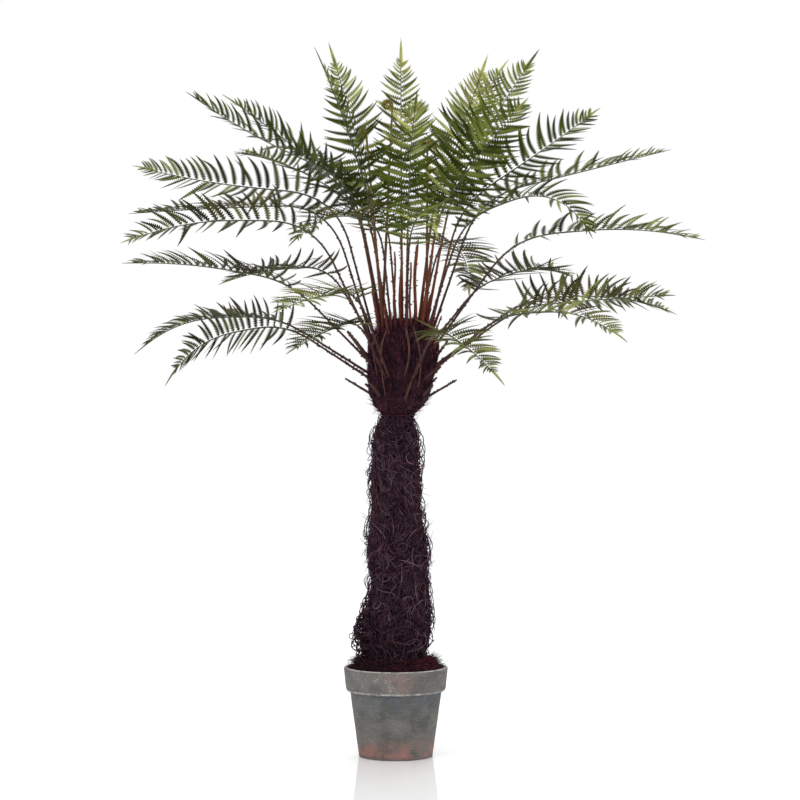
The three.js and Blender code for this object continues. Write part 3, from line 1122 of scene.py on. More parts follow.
    def deal(self, leaflets: Leaflets) -> Array:
        """Deals out the greens.

        Level fronds take the greyish greens and upright ones the clear greens. Both grow paler
        towards the tip, partly the tips' own lighter green and partly a painted backlight glow, and
        towards the +X side as painted light; a few leaflets stand out pale.

        Args:
            leaflets: All the leaflets.

        Returns:
            The number of each one's green in the order of Shade.
        """
        rng = np.random.default_rng(self.seed + 1)
        level = np.array([frond.level for frond in FRONDS])
        own = rng.normal(0.0, 0.35, len(FRONDS))[leaflets.owner]
        clear = level + rng.normal(0.0, 5.0, len(FRONDS)) > self.clear_level
        clear = clear[leaflets.owner]
        upright = smooth((level - 26.0) / 50.0)[leaflets.owner]
        azimuth = np.radians([frond.azimuth for frond in FRONDS])
        lit = (0.35 + 0.35 * np.cos(azimuth))[leaflets.owner]
        own = own + lit * np.where(clear, 0.8, 1.0)
        own = own + 0.9 * np.isin(leaflets.owner, self.fresh)
        # Paler towards the tip: partly the tips' own lighter green, partly a painted backlight
        # glow.
        young = 1.7 * smooth((leaflets.blade_place - 0.35) / 0.65)
        count = len(leaflets.owner)
        spark = 1.6 * (rng.uniform(0.0, 1.0, count) < 0.07)
        tone = own + young * (0.5 + upright) + spark + rng.normal(0.0, 0.6, count)
        first = list(Shade).index(Shade.FOREST)
        grey = np.clip(np.round(0.6 + tone), 0, first - 1)
        green = np.clip(np.round(first + 0.4 * upright + tone), first, len(Shade) - 1)
        return np.where(clear, green, grey).astype(int)

    def build_leaflets(self) -> None:
        """Leaflets as one piece for each green, each with as many lobes as its length asks."""
        leaflets = self.grow()
        shade = self.deal(leaflets)
        counts = [count for _, count in self.lobes]
        lobes = np.select([leaflets.length > least for least, _ in self.lobes], counts)
        for number, green in enumerate(Shade):
            skin = Skin()
            for count in counts:
                chosen = (shade == number) & (lobes == count)
                s, y, sixes, threes = LeafletOutline(count).shape()
                points = leaflets.pick(chosen).place(s, y)
                shift = np.arange(len(points))[:, None, None] * len(s)
                skin.add(points, (sixes + shift).reshape(-1, 6), (threes + shift).reshape(-1, 3))
            self.add_tips(skin, [k for k in range(len(FRONDS)) if self.tip_shade(k) is green])
            finish = LeafFinish(f"leaf_{green.name.lower()}", green.value)
            name = f"leaflets_{green.name.lower()}"
            skin.build(name, finish, "leaf", self.nodes("_stalk"), rounded=False)

    def tip_shade(self, number: int) -> Shade:
        """Green of a frond's toothed tip.

        Args:
            number: Number of the frond, from 0.

        Returns:
            The green.
        """
        if number in self.fresh:
            return Shade.YOUNG
        if FRONDS[number].level > self.tip_level:
            return (Shade.FRESH, Shade.LIGHT, Shade.YOUNG)[number % 3]
        return (Shade.SAGE, Shade.FRESH, Shade.OLIVE, Shade.LIGHT)[number % 4]

    def add_tips(self, skin: Skin, fronds: list[int]) -> None:
        """Toothed strips that end the blades: outline laid along the rib up to the tip.

        Args:
            skin: Skin that takes them.
            fronds: Numbers of the fronds, from 0.
        """
        s, y, sixes, threes = LeafletOutline(18, 0.4, 0.6).shape()
        for number in fronds:
            start = 0.93 - 0.03 * FRONDS[number].slimness
            point, _, side, up = self.ribs[number].at(start + (0.998 - start) * s)
            wide = 5.2 * y[:, None]
            skin.add(point + side * wide + up * (0.6 + 0.24 * np.abs(wide)), sixes, threes)

    def build_limbs(self) -> None:
        """Tapering stalks of the inner and the outer fronds, and ribs of the blades."""
        # Rows of place on the rib and radius there.
        stout = ((0.0, 4.4), (0.06, 3.6), (0.2, 2.7), (0.41, 1.9))
        thin = ((0.0, 3.5), (0.06, 2.8), (0.2, 2.3), (0.41, 1.9))
        blade = ((0.41, 1.9), (0.7, 1.3), (0.95, 0.7), (1.0, 0.35))
        rust = StalkFinish("stalk_rust", "#5e2618", "#6b3a24", "#57452c")
        dark = StalkFinish("stalk_dark", "#3c201f", "#3a2a28", "#443a32")
        green = StalkFinish("rib_green", "#4a4630", "#4d4f33", "#46503a")
        inner = [rib for rib, frond in zip(self.ribs, FRONDS) if frond.level > self.inner_level]
        outer = [rib for rib, frond in zip(self.ribs, FRONDS) if frond.level <= self.inner_level]
        stretches = (
            ("stalks_inner", inner, stout, rust, self.nodes("_blade")),
            ("stalks_outer", outer, thin, dark, self.nodes("_blade")),
            ("blade_ribs", self.ribs, blade, green, self.nodes("_stalk")),
        )
        for name, ribs, taper, finish, replaced in stretches:
            start, end = taper[0][0], taper[-1][0]
            places = np.linspace(start, end, round((end - start) * RIB_STEPS) + 1)
            rows = [rib.at(places) for rib in ribs]
            centres = np.stack([row[0] for row in rows])
            side = np.stack([row[2][0] for row in rows])
            radii = np.broadcast_to(table(taper, places), centres.shape[:2])
            skin = Skin().add(*tubes(centres, radii, 8, side))
            skin.build(name, finish, "stalk", replaced)

    def build_knobs(self) -> None:
        """Thorns along the stalks: blunt cones at random turns that lean towards the tip."""
        rng = np.random.default_rng(self.seed + 2)
        skin = Skin()
        for rib in self.ribs:
            places = np.sort(rng.uniform(0.05, 0.47, self.thorns))
            point, forward, side, up = rib.at(places)
            turn = rng.uniform(0.0, 2.0 * np.pi, self.thorns)[:, None]
            out = side * np.cos(turn) + up * np.sin(turn)
            radius = table(((0.05, 3.0), (0.2, 2.3), (0.47, 1.6)), places)[:, None]
            size = rng.uniform(1.6, 3.0, self.thorns)[:, None] * (0.5 + radius / 5.0)
            root = point + out * radius * 0.5
            lift = np.array([0.0, 0.5, 1.0])[None, :, None]
            tip = out * (radius * 0.5 + size) + forward * size * 0.8
            path = root[:, None] + lift * tip[:, None]
            skin.add(*tubes(path, size * np.array([[1.0, 0.75, 0.2]]), 5))
        finish = StalkFinish("stalk_knob", "#43231d", "#4c342a", "#4c4232")
        skin.build("stalk_knobs", finish, "stalk", self.nodes("_blade"))

    def build(self) -> None:
        """Builds every piece of the fronds."""
        self.build_limbs()
        self.build_knobs()
        self.build_leaflets()


# ---- crown


@dataclass
class FeltCrown:
    """Swollen top of the trunk under its felt, with the cut feet of old leaves.

    Attributes:
        rows: Rings of the bulb's mesh.
        columns: Corners of a ring.
        lump: Height of its lumps.
        hairs: Number of felt hairs.
        stub_share: Share of the stubs' radius that their core takes.
        scars: Number of small scars on each stub.
        runners: Rows of azimuth, top and foot height and radius of old stalks that lie on the felt.
        stubs: Rows of azimuth, height, rise, length and radius.
        cut_stalks: The same rows of the upright cut stalks between the fronds.
        tones: Name, dark colour and light colour of the felt's hairs; the maroon ones that gather
            on the rims and the rosy ones are painted highlights.
        upper_rim: Height at which the felt begins to loosen over the shoulder.
        lower_rim: Height under which it loosens towards the trunk.
        rosy_height: Height of the rosy patch, a painted highlight on the +X shoulder.
        seed: Number that sets the small differences.
    """

    rows: int = 130
    columns: int = 200
    lump: float = 2.6
    hairs: int = 9000
    stub_share: float = 0.7
    scars: int = 12
    runners: Rows = (
        (-88, 902, 786, 3.1), (-64, 898, 770, 2.7), (-122, 888, 752, 2.9), (-146, 880, 790, 2.5),
        (-12, 890, 800, 2.7), (24, 898, 786, 2.9), (62, 896, 768, 2.7), (98, 900, 784, 3.1),
        (134, 892, 762, 2.8), (172, 888, 800, 2.5),
    )
    stubs: Rows = (
        (182, 746, 31, 84, 4.5), (196, 770, 40, 52, 4.5), (186, 806, 52, 104, 7),
        (150, 815, 62, 92, 5), (2, 740, 30, 92, 4.5), (-14, 778, 44, 50, 4.5),
        (12, 790, 40, 62, 5), (-4, 806, 54, 76, 5), (-74, 722, 46, 84, 5),
        (-132, 738, 40, 58, 5), (-40, 742, 34, 60, 5.5), (40, 748, 36, 72, 5.5),
        (74, 744, 48, 64, 6), (108, 750, 40, 78, 5.5), (138, 742, 32, 66, 6),
        (228, 744, 34, 62, 5.5),
    )
    cut_stalks: Rows = (
        (206, 858, 80, 118, 3.8), (-8, 856, 79, 104, 3.8), (-22, 842, 66, 84, 3.6),
        (-98, 890, 88, 196, 4.0), (-62, 892, 87, 184, 4.0), (-74, 878, 91, 152, 3.8),
        (-112, 880, 88, 128, 3.8), (66, 884, 86, 186, 4.0), (112, 888, 88, 168, 4.0),
        (150, 862, 80, 96, 3.8), (40, 858, 78, 110, 3.8), (238, 850, 76, 92, 3.6),
    )
    tones: tuple[tuple[str, str, str], ...] = (
        ("dark", "#200f18", "#402231"),
        ("maroon", "#42202b", "#6a3a43"),
        ("rosy", "#6b3230", "#a0584d"),
    )
    upper_rim: float = 878.0
    lower_rim: float = 760.0
    rosy_height: float = 869.0
    seed: int = 23

    def skin(self, angle: Array, height: Array, lift: Array | float = 0.0) -> Array:
        """Point on the bulb: the crown's skin, drawn in over its shoulder by up to a fifth."""
        dome = 0.2 * smooth((height - 850.0) / 60.0)
        return CROWN.point(angle, height, lift - dome * CROWN.radius(angle, height))

    def build_bulb(self) -> None:
        """Bulb: the domed skin with lumps of noise, closed over its top."""
        height = np.linspace(CROWN.foot - 6.0, CROWN.top + 5.0, self.rows)[:, None]
        angle = circle(self.columns)
        flat = CROWN.point(angle, height)
        lump = lattice_noise(flat, 9.0, 1) + 0.6 * lattice_noise(flat * (1.0, 1.0, 0.5), 3.5, 2)
        close = np.sqrt(1.0 - np.clip((height - CROWN.top + 8.0) / 13.0, 0.0, 1.0) ** 2)
        middle = self.skin(angle, height).mean(axis=1, keepdims=True)
        lumpy = self.skin(angle, height, self.lump * lump - 1.5)
        rings = middle + (lumpy - middle) * close[..., None]
        finish = FibreFinish("felt_bulb", "#150a10", "#2e1820", patch=26.0)
        Skin().add(*capped(rings)).build("crown_bulb", finish, "crown_felt", ["crown"])

    def build_felt(self) -> None:
        """Short hairs that lie upright on the bulb, loose on its rims, paler on its rims and rosy
        on one shoulder as painted highlights.
        """
        rng = np.random.default_rng(self.seed)
        angle = rng.uniform(0.0, 2.0 * np.pi, self.hairs)
        height = rng.uniform(CROWN.foot, CROWN.top - 1.0, self.hairs)
        over, under = height - self.upper_rim, self.lower_rim - height
        edge = np.maximum(smooth(over / 30.0), smooth(under / 40.0))
        root = self.skin(angle, height, -1.8)
        out = heading(np.degrees(angle), 0.0)
        spread = rng.normal(0.0, 1.0, (self.hairs, 3)) * (0.2 + 0.3 * edge)[:, None]
        direction = unit(out * (0.22 + 0.3 * edge)[:, None] + np.array([0.0, 0.0, 1.0]) + spread)
        length = rng.uniform(6.0, 15.0, self.hairs) * (1.0 + 0.5 * edge)
        bend = rng.normal(0.0, 0.16, (self.hairs, 3))
        thickness = rng.uniform(0.45, 0.8, self.hairs)
        # Painted highlight: hairs near one spot high on the +X shoulder take the rosy tone.
        beside = (angle + 1.0) % (2.0 * np.pi) - 0.6
        rosy_highlight = np.exp(-(beside**2) * 3.5 - ((height - self.rosy_height) / 20.0) ** 2)
        # Painted highlight: more hairs on the upper and lower rims take the paler maroon tone.
        rim = 0.45 * smooth((over - 8.0) / 20.0) + 0.3 * smooth((under - 8.0) / 30.0)
        lot, highlight_lot = rng.uniform(0.0, 1.0, (2, self.hairs))
        kind = np.where(highlight_lot < 0.6 * rosy_highlight, 2, np.where(lot < 0.8 - rim, 0, 1))
        for number, (tone, dark, light) in enumerate(self.tones):
            hairs = picked(kind == number, root, direction, length, bend, thickness)
            finish = FibreFinish(f"felt_{tone}", dark, light, patch=12.0)
            skin = Skin().add(*strands(*hairs, 4))
            skin.build(f"crown_felt_{tone}", finish, "crown_felt", ["crown"])

    def build_runners(self) -> None:
        """Old stalks that lie on the felt: each runs down the skin, thins out and sinks in."""
        azimuth, top, foot, radius = np.array(self.runners, float).T[..., None]
        t = np.linspace(0.0, 1.0, 24)[None]
        height = top + (foot - top) * t
        angle = np.radians(azimuth + 7.0 * np.sin(3.0 * t + azimuth))
        centres = self.skin(angle, height, radius * (0.75 - 1.6 * t**3))
        finish = StalkFinish("old_stalk", "#3f2520", "#52352e", "#603f30", spans=(0.03, 0.08, 0.13))
        skin = Skin().add(*tubes(centres, radius * (1.0 - 0.5 * t) + 0.0 * height, 7))
        skin.build("crown_runners", finish, "crown_felt", ["crown"])

    def build_stubs(self) -> None:
        """Cut feet and cut stalks of old leaves, with ragged flat ends and small scars."""
        rng = np.random.default_rng(self.seed + 1)
        stub = StalkFinish("stub", "#3c241f", "#432b26", "#4a342c", spans=(0.03, 0.09, 0.15))
        rust = StalkFinish("cut_stalk", "#5e2618", "#6b3a24", "#57452c")
        pieces = (("crown_stubs", self.stubs, stub), ("cut_stalks", self.cut_stalks, rust))
        for name, rows, finish in pieces:
            azimuth, height, rise, length, radius = np.array(rows, float).T
            radius = self.stub_share * radius
            root = seat(azimuth, height)
            direction = heading(azimuth, rise)
            t = np.linspace(0.0, 1.0, 12)
            wander = 0.012 * np.sin(7.0 * t[None, :] + azimuth[:, None]) * length[:, None]
            centres = root[:, None] + direction[:, None] * (t * length[:, None])[..., None]
            centres = centres + heading(azimuth + 90.0, 0.0)[:, None] * wander[..., None]
            rough = rng.normal(1.0, 0.045, (len(radius), len(t)))
            radii = radius[:, None] * (1.05 - 0.4 * t) * rough
            radii[:, -1] *= 0.86
            skin = Skin().add(*tubes(centres, radii, 9))
            at = rng.uniform(0.35, 0.95, (len(radius), self.scars))
            turn = rng.uniform(0.0, 2.0 * np.pi, (len(radius), self.scars))[..., None]
            level = heading(azimuth + 90.0, 0.0)[:, None]
            out = level * np.cos(turn) + np.cross(direction, level[:, 0])[:, None] * np.sin(turn)
            start = root[:, None] + direction[:, None] * (at * length[:, None])[..., None]
            girth = (radius[:, None] * (1.0 - 0.4 * at))[..., None]
            ends = start + out * (girth + 2.0) + direction[:, None] * 1.6
            start = start + out * girth * 0.6
            path = np.stack([start, 0.5 * (start + ends), ends], axis=2).reshape(-1, 3, 3)
            skin.add(*tubes(path, np.broadcast_to([1.7, 1.3, 0.5], (len(path), 3)), 5))
            skin.build(name, finish, "crown_felt", ["crown"])

    def build(self) -> None:
        """Builds every piece of the crown."""
        self.build_bulb()
        self.build_felt()
        self.build_runners()
        self.build_stubs()


# ---- young fronds


@dataclass
class Croziers:
    """Young fronds: thin stalks whose ends are wound up in flat, scaly coils.

    Attributes:
        rows: Azimuth, height, rise, stalk length and coil radius of each.
        stalk_steps: Steps of the straight stalk.
        coil_steps: Steps of the coil.
        turns: Turns of the coil.
        girths: Radius at the foot, where the coil begins and at the tip.
        scales: Number of scales on each.
        seed: Number that sets the small differences.
    """

    rows: Rows = ((176, 897, 92.7, 462, 11), (214, 880, 84, 418, 9), (8, 891, 89.8, 388, 8))
    stalk_steps: int = 40
    coil_steps: int = 60
    turns: float = 1.4
    girths: Place = (3.1, 2.0, 1.2)
    scales: int = 420
    seed: int = 31

    def line(self, row: tuple[float, ...]) -> Array:
        """Line of a crozier: straight, then wound back with steps that shrink as 1 - 0.62 t.

        Args:
            row: Azimuth, height, rise, stalk length and coil radius.

        Returns:
            Points of the line, (steps, 3).
        """
        azimuth, height, rise, length, coil = row
        t = np.arange(1, self.coil_steps + 1) / self.coil_steps
        straight = np.repeat(heading(azimuth, rise)[None], self.stalk_steps, axis=0)
        straight = straight * length / self.stalk_steps
        step = coil * (1.0 - 0.62 * t) * 2.0 * np.pi * self.turns / self.coil_steps
        curl = heading(azimuth, rise - 360.0 * self.turns * t) * step[:, None]
        start = seat(np.array(azimuth), np.array(height))
        return start + np.cumsum(np.concatenate([np.zeros((1, 3)), straight, curl]), axis=0)

    def build(self) -> None:
        """Builds the stalks, the coils and the scales on them."""
        rng = np.random.default_rng(self.seed)
        lines = np.stack([self.line(row) for row in self.rows])
        steps = lines.shape[1]
        radii = np.interp(np.arange(steps), [0, self.stalk_steps, steps - 1], self.girths)
        nodes = sorted(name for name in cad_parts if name.startswith("crozier"))
        spans = (0.1, 0.22, 0.42)
        finish = StalkFinish("crozier_stalk", "#52291c", "#5d3a22", "#6d6230", spans=spans)
        skin = Skin().add(*tubes(lines, np.broadcast_to(radii, lines.shape[:2]), 8))
        skin.build("crozier_stalks", finish, "young_frond", nodes)
        scales = Skin()
        for line in lines:
            at = rng.uniform(self.stalk_steps * 0.86, steps - 2.0, self.scales)
            low = at.astype(int)
            step = line[low + 1] - line[low]
            forward = unit(step)
            out = unit(np.cross(forward, rng.normal(0.0, 1.0, (self.scales, 3))))
            girth = np.interp(at, np.arange(steps), radii)[:, None]
            root = line[low] + step * (at - low)[:, None] + out * girth * 0.8
            bend = forward * 0.25 + rng.normal(0.0, 0.1, (self.scales, 3))
            thick = rng.uniform(0.35, 0.6, self.scales)
            length = rng.uniform(2.5, 6.0, self.scales)
            scales.add(*strands(root, unit(out * 0.7 + forward * 0.8), length, bend, thick, 4))
        finish = FibreFinish("crozier_scale", "#665628", "#9d8d40", patch=6.0)
        scales.build("crozier_scales", finish, "young_frond", nodes)


# ---- trunk


@dataclass
class RootTrunk:
    """Trunk matted with roots: a ridged column under creeping, looping and loose roots.

    Attributes:
        rows: Rings of the column's mesh.
        columns: Corners of a ring.
        ridge: Height of its ridges.
        core: Depth of the column under the outline that the roots fill.
        creeping_roots: Rows of number, points of a path, lengths, wander, curl, lift and girth of
            the fine, the tangled, the coarse and the looping roots.
        tones: Rows of name, dark colour, light colour and share of the roots.
        nest: Number of roots that are wound up low on the -X side.
        nest_heights: Heights between which those start.
        nest_angles: Angles between which they start, in radians.
        whiskers: Number of loose ends.
        seed: Number that sets the small differences.
    """

    rows: int = 230
    columns: int = 260
    ridge: float = 3.4
    core: float = 13.0
    creeping_roots: tuple[tuple, ...] = (
        (1500, 12, (50.0, 150.0), 0.3, 0.6, (0.6, 4.0), (0.6, 1.2)),
        (1250, 11, (26.0, 80.0), 1.0, 2.4, (1.5, 8.0), (0.6, 1.3)),
        (300, 16, (40.0, 100.0), 0.4, 1.8, (9.0, 19.0), (0.9, 1.5)),
        (200, 14, (35.0, 75.0), 0.9, 3.6, (10.0, 20.0), (0.8, 1.4)),
    )
    tones: tuple[tuple[str, str, str, float], ...] = (
        ("dark", "#22131c", "#402a36", 0.44), ("brown", "#39242f", "#5b424e", 0.34),
        ("grey", "#483742", "#6b5964", 0.13), ("red", "#3a1d25", "#553039", 0.09),
    )
    nest: int = 120
    nest_heights: tuple[float, float] = (225.0, 300.0)
    nest_angles: tuple[float, float] = (2.2, 4.3)
    whiskers: int = 2300
    seed: int = 41

    def whirl(self, angle: Array, height: Array) -> Array:
        """Course of the roots: a sum of coarse and fine noise, calmer towards the top.

        Args:
            angle: Angle round the axis, in radians.
            height: Height above the ground.

        Returns:
            Angle from upright at each place, in radians.
        """
        place = TRUNK.point(angle, height)
        calm = 1.0 - 0.7 * smooth((height - 560.0) / 100.0)
        return calm * (0.8 * lattice_noise(place, 46.0, 5) + 0.6 * lattice_noise(place, 19.0, 6))

    def build_column(self) -> None:
        """Column with ridges: 1 - |noise| of places that are drawn out upright and pushed aside."""
        height = np.linspace(TRUNK.foot - 9.0, TRUNK.top + 4.0, self.rows)[:, None]
        angle = circle(self.columns)
        place = TRUNK.point(angle, height)
        push = np.stack([lattice_noise(place, 24.0, seed) for seed in (7, 8, 9)], axis=-1)
        drawn = (place + 9.0 * push) * (1.0, 1.0, 0.3)
        ridges = 1.0 - np.abs(lattice_noise(drawn, 7.0, 10))
        ridges = ridges - 0.6 * np.abs(lattice_noise(drawn, 3.4, 12))
        knots = 0.5 * lattice_noise(place, 13.0, 13)
        rings = TRUNK.point(angle, height, self.ridge * (ridges + knots) - self.core)
        finish = FibreFinish("root_mat", "#180e14", "#38252f", patch=30.0, grain=2.2)
        Skin().add(*capped(rings)).build("trunk_mat", finish, "root_fibre", ["trunk"])

    def creeping(
        self,
        rng: np.random.Generator,
        count: int,
        steps: int,
        lengths: tuple[float, float],
        wander: float,
        curl: float,
        lift: tuple[float, float],
        heights: tuple[float, float] = (TRUNK.foot, TRUNK.top),
        angles: tuple[float, float] = (0.0, 2.0 * math.pi),
    ) -> Array:
        """Paths of roots that creep over the skin.

        From step to step the angle grows by step sin(course) / radius and the height by step
        cos(course), where the course is the whirl at that place, plus the root's own turn, plus its
        curl times the way gone. The root stands off by its lift times sqrt(sin(pi t)), less a depth
        of its own.

        Args:
            rng: Source of the random numbers.
            count: Number of roots.
            steps: Points of a path.
            lengths: Shortest and longest root.
            wander: Spread of the roots' own turns, in radians.
            curl: Spread of their curls, in radians over the whole length.
            lift: Lowest and highest stand-off.
            heights: Heights between which they start.
            angles: Angles between which they start.

        Returns:
            Paths, (count, steps, 3).
        """
        angle = rng.uniform(*angles, count)
        height = rng.uniform(*heights, count)
        length = rng.uniform(*lengths, count)
        own = rng.normal(0.0, wander, count) + np.pi * rng.integers(0, 2, count)
        bend = rng.normal(0.0, curl, count)
        rise = rng.uniform(*lift, count)
        depth = rng.uniform(0.25, 0.9, count) * self.core
        path = np.empty((count, steps, 3))
        step = length / (steps - 1)
        for k in range(steps):
            t = k / (steps - 1)
            path[:, k] = TRUNK.point(angle, height, rise * math.sqrt(math.sin(math.pi * t)) - depth)
            course = own + self.whirl(angle, height) + bend * t
            angle = angle + step * np.sin(course) / TRUNK.radius(angle, height)
            height = np.clip(height + step * np.cos(course), TRUNK.foot - 4.0, TRUNK.top + 2.0)
        return path

    def build_roots(self) -> None:
        """Creeping, coarse and looping roots, dealt out to four tones."""
        rng = np.random.default_rng(self.seed)
        skins = [Skin() for _ in self.tones]
        bounds = np.cumsum([tone[3] for tone in self.tones])
        for count, steps, lengths, wander, curl, lift, girth in self.creeping_roots:
            paths = self.creeping(rng, count, steps, lengths, wander, curl, lift)
            t = np.linspace(0.0, 1.0, steps)
            thick = rng.uniform(*girth, (count, 1)) * (1.0 - 0.45 * t)
            tone = np.searchsorted(bounds[:-1], rng.uniform(0.0, 1.0, count))
            for number, skin in enumerate(skins):
                skin.add(*tubes(paths[tone == number], thick[tone == number], 3))
        where = self.nest_heights, self.nest_angles
        nest = self.creeping(rng, self.nest, 14, (45.0, 100.0), 1.2, 3.4, (14.0, 27.0), *where)
        dark = 3 * self.nest // 4
        for skin, paths, girth in ((skins[0], nest[:dark], 1.05), (skins[1], nest[dark:], 0.9)):
            skin.add(*tubes(paths, np.full(paths.shape[:2], girth), 3))
        for skin, (tone, dark, light, _) in zip(skins, self.tones):
            finish = FibreFinish(f"root_{tone}", dark, light, patch=16.0, shade=0.45)
            skin.build(f"trunk_roots_{tone}", finish, "root_fibre", ["trunk"])

    def build_whiskers(self) -> None:
        """Loose hooked ends that stand off the trunk, up, down and outwards."""
        rng = np.random.default_rng(self.seed + 1)
        count = self.whiskers
        angle = rng.uniform(0.0, 2.0 * np.pi, count)
        height = rng.uniform(TRUNK.foot, TRUNK.top, count)
        root = TRUNK.point(angle, height, -7.0)
        out = heading(np.degrees(angle), 0.0)
        around = heading(np.degrees(angle) + 90.0, 0.0)
        sign = np.where(rng.uniform(0.0, 1.0, (count, 1)) < 0.55, 1.0, -1.0)
        upward = np.array([0.0, 0.0, 1.0]) * sign
        direction = out * rng.uniform(0.3, 0.9, (count, 1))
        direction = direction + around * rng.normal(0.0, 0.5, (count, 1))
        direction = unit(direction + upward * rng.uniform(0.2, 0.8, (count, 1)))
        length = rng.uniform(12.0, 27.0, count) * (1.0 - 0.25 * smooth((height - 560.0) / 90.0))
        bend = around * rng.normal(0.0, 0.5, (count, 1)) - out * rng.uniform(0.0, 0.45, (count, 1))
        bend = bend + upward * rng.uniform(0.0, 0.8, (count, 1))
        thick = rng.uniform(0.8, 1.5, count)
        skin = Skin().add(*strands(root, direction, length, bend, thick, 7))
        finish = FibreFinish("root_whisker", "#27171f", "#4c3742", patch=14.0, shade=0.45)
        skin.build("trunk_whiskers", finish, "root_fibre", ["trunk"])

    def build(self) -> None:
        """Builds every piece of the trunk."""
        self.build_column()
        self.build_roots()
        self.build_whiskers()


# ---- pot and filling


@dataclass
class Pot:
    """Turned pot with a deep collar, its edges a little uneven.

    Attributes:
        height: Height of the pot.
        base_radius: Radius of its foot.
        waist_radius: Radius under the collar.
        rim_radius: Radius of its rim.
        collar_height: Height of the collar.
        collar_foot_radius: Radius at the collar's lower edge.
        wall: Thickness of the wall.
        floor: Thickness of the floor.
        columns: Corners of a ring.
    """

    height: float = 187.0
    base_radius: float = 77.0
    waist_radius: float = 95.5
    rim_radius: float = 109.0
    collar_height: float = 50.0
    collar_foot_radius: float = 104.0
    wall: float = 7.0
    floor: float = 9.0
    columns: int = 180

    @property
    def collar_foot(self) -> float:
        """Height of the collar's lower edge."""
        return self.height - self.collar_height

    def outline(self) -> Array:
        """Outline of half the section, its corners rounded.

        Returns:
            Radius and height from the middle of the underside to that of the floor inside.
        """
        low, high, wall = self.collar_foot, self.height, self.wall
        base, waist = self.base_radius, self.waist_radius
        lip, rim = self.collar_foot_radius, self.rim_radius
        # Rows of radius, height and reach of the rounding.
        rows = (
            (0.0, 0.0, 0.0), (base, 0.0, 2.2), (waist, low - 2.0, 2.0), (lip - 1.5, low + 0.5, 2.4),
            (lip + 0.2, low + 5.0, 2.0), (rim, high - 2.6, 1.6), (rim - 2.4, high, 1.8),
            (rim - wall, high, 1.6), (waist - wall, low - 4.0, 4.0),
            (base - wall, self.floor, 4.0), (0.0, self.floor, 0.0),
        )
        corners = np.array(rows)
        return rounded_outline(corners[:, :2], corners[:, 2], 4, 4.5)

    def build(self) -> None:
        """Lathe of the outline, with a soft unevenness above its flat foot."""
        outline = self.outline()
        radius, height = outline[:, :1], outline[:, 1:]
        rings = turned(radius, height, self.columns)
        uneven = 0.35 * lattice_noise(rings, 26.0, 14) + 0.16 * lattice_noise(rings, 6.0, 15)
        free = smooth((height - 2.0) / 6.0) * smooth(radius / 30.0)
        rings[..., :2] *= 1.0 + (uneven * free / np.maximum(radius, 1.0))[..., None]
        finish = PotFinish("weathered_wash", self.height, self.collar_foot)
        Skin().add(*capped(rings)).build("planter", finish, "pot", ["pot"])


@dataclass
class CoirFilling:
    """Mound of coir in the pot, under loose fibres.

    Attributes:
        edge_radius: Radius where it meets the pot's wall.
        edge_height: Height there.
        crest_radius: Radius at which it reaches the trunk.
        crest_height: Height there.
        columns: Corners of a ring.
        fibres: Number of loose fibres.
        tones: Name, dark colour and light colour of the fibres.
        seed: Number that sets the small differences.
    """

    edge_radius: float = 98.8
    edge_height: float = 181.0
    crest_radius: float = 76.0
    crest_height: float = 203.0
    columns: int = 200
    fibres: int = 2600
    tones: tuple[tuple[str, str, str], ...] = (
        ("dark", "#180b10", "#40252c"),
        ("red", "#33141c", "#6a2e39"),
    )
    seed: int = 53

    def surface(self, radius: Array) -> Array:
        """Height of the mound: the edge plus the crest's rise times smoothstep of the way in."""
        way = (self.edge_radius - radius) / (self.edge_radius - self.crest_radius)
        return self.edge_height + (self.crest_height - self.edge_height) * smooth(way)

    def build_mound(self) -> None:
        """Mound with lumps of noise, closed underneath inside the pot."""
        inward = np.linspace(self.edge_radius, 2.0, 60)
        radius = np.concatenate([[0.0, 60.0, self.edge_radius - 3.5], inward, [0.0]])
        height = np.concatenate([[160.0, 160.0, 160.0], self.surface(inward), [self.crest_height]])
        rings = turned(radius[:, None], height[:, None], self.columns)
        lump = 2.2 * lattice_noise(rings, 8.0, 16) + 1.3 * lattice_noise(rings, 3.2, 17)
        free = ((height > 165.0) & (radius < self.edge_radius + 1.0))[:, None]
        rings[..., 2] += lump * free - 1.0
        finish = FibreFinish("coir_mound", "#0d0509", "#1d0d12", patch=14.0, grain=2.4)
        Skin().add(*capped(rings)).build("coir_mound", finish, "coir", ["pot_filling"])

    def build_fibres(self) -> None:
        """Loose fibres that lie on the mound every way, redder on one side."""
        rng = np.random.default_rng(self.seed)
        angle = rng.uniform(0.0, 2.0 * np.pi, self.fibres)
        radius = rng.uniform(self.crest_radius - 12.0, self.edge_radius - 2.0, self.fibres)
        out = heading(np.degrees(angle), 0.0)
        root = out * radius[:, None]
        root[:, 2] = self.surface(radius) - 1.0
        way = rng.uniform(0.0, 360.0, self.fibres)
        slope = rng.uniform(4.0, 34.0, self.fibres)
        length = rng.uniform(9.0, 34.0, self.fibres)
        direction = heading(way, slope)
        outward = np.sum(direction * out, axis=1)
        reach = radius + outward * length
        over = rng.uniform(0.0, 1.0, self.fibres) < 0.93
        length = np.where((reach > self.edge_radius + 2.0) & over, length * 0.45, length)
        bend = rng.normal(0.0, 0.28, (self.fibres, 3))
        bend[:, 2] -= 0.2
        thick = rng.uniform(0.4, 0.85, self.fibres)
        red = np.abs(np.cos(angle - math.radians(-38.0))) ** 3 > rng.uniform(0.1, 1.3, self.fibres)
        for chosen, (tone, dark, light) in zip((~red, red), self.tones):
            fibres = picked(chosen, root, direction, length, bend, thick)
            finish = FibreFinish(f"coir_{tone}", dark, light, patch=9.0)
            skin = Skin().add(*strands(*fibres, 6))
            skin.build(f"coir_fibres_{tone}", finish, "coir", ["pot_filling"])

    def build(self) -> None:
        """Builds the mound and its fibres."""
        self.build_mound()
        self.build_fibres()


# ---- studio


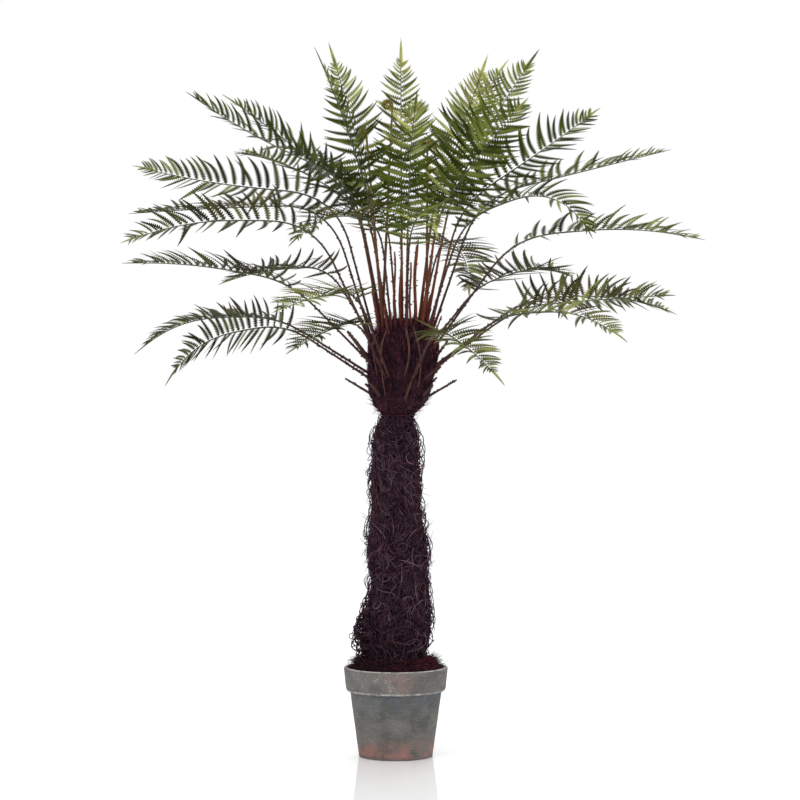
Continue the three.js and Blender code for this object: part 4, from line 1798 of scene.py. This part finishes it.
@dataclass
class Studio:
    """Pale glossy floor, white surround, soft lights and the camera.

    Attributes:
        eye: Place of the camera, in metres.
        target: Point that it looks at.
        lens: Focal length in millimetres on a 36 mm sensor.
        floor_size: Side of the floor in metres.
        lights: Name, place and side in metres and power in watts of each light.
    """

    eye: Place = (0.0088, -5.2, 0.82)
    target: Place = (0.0088, 0.0, 0.744)
    lens: float = 112.07
    floor_size: float = 60.0
    lights: tuple[tuple[str, Place, float, float], ...] = (
        ("key", (-2.2, -3.0, 3.2), 1.6, 68.0),
        ("fill", (2.6, -2.6, 1.8), 1.6, 31.0),
        ("back", (0.5, 2.8, 3.0), 2.0, 50.0),
    )

    def build_floor(self) -> None:
        """Pale floor that mirrors a little."""
        bpy.ops.mesh.primitive_plane_add(size=self.floor_size)
        floor = bpy.context.object
        floor.name = "studio_floor"
        graph = Graph("studio_floor")
        soft = graph.ramp(graph.noise(900.0), 0.3, 0.7, 0.995, 1.0)
        base = graph.blend(soft, colour("#f4f4f4"), colour("#fafafa"))
        rough = graph.ramp(graph.noise(60.0), 0.3, 0.7, 0.05, 0.08)
        material = graph.finish(base, rough, soft, 0.001, Specular_IOR_Level=0.25)
        floor.data.materials.append(material)

    def build_world(self) -> None:
        """White surround."""
        world = bpy.data.worlds.new("white_surround")
        world.use_nodes = True
        world.node_tree.nodes["Background"].inputs["Color"].default_value = (1.0, 1.0, 1.0, 1.0)
        world.node_tree.nodes["Background"].inputs["Strength"].default_value = 1.0
        bpy.context.scene.world = world

    def aimed(self, name: str, data: bpy.types.ID, place: Place) -> bpy.types.Object:
        """Light or camera at a place, turned towards the target.

        Args:
            name: Name of the object.
            data: The light or camera itself.
            place: Its place in metres.

        Returns:
            The object.
        """
        made = bpy.data.objects.new(name, data)
        made.location = place
        aim = Vector(self.target) - Vector(place)
        made.rotation_euler = aim.to_track_quat("-Z", "Y").to_euler()
        bpy.context.scene.collection.objects.link(made)
        return made

    def build_lights(self) -> None:
        """Square soft lights."""
        for name, place, side, power in self.lights:
            data = bpy.data.lights.new(name, "AREA")
            data.size = side
            data.energy = power
            self.aimed(name, data, place)

    def build_camera(self) -> None:
        """Camera at the plant's own eye level."""
        data = bpy.data.cameras.new("camera")
        data.lens = self.lens
        data.sensor_width = 36.0
        bpy.context.scene.camera = self.aimed("camera", data, self.eye)

    def build(self) -> None:
        """Builds the studio."""
        self.build_floor()
        self.build_world()
        self.build_lights()
        self.build_camera()
        bpy.context.scene.view_settings.view_transform = "Standard"


def main() -> None:
    """Builds the object's sub-assemblies in order, then the studio."""
    logging.basicConfig(level=logging.INFO, format="%(message)s")
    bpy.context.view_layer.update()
    Pot().build()
    CoirFilling().build()
    RootTrunk().build()
    FeltCrown().build()
    Croziers().build()
    FrondCrown().build()
    Studio().build()


if __name__ == "__main__":
    main()
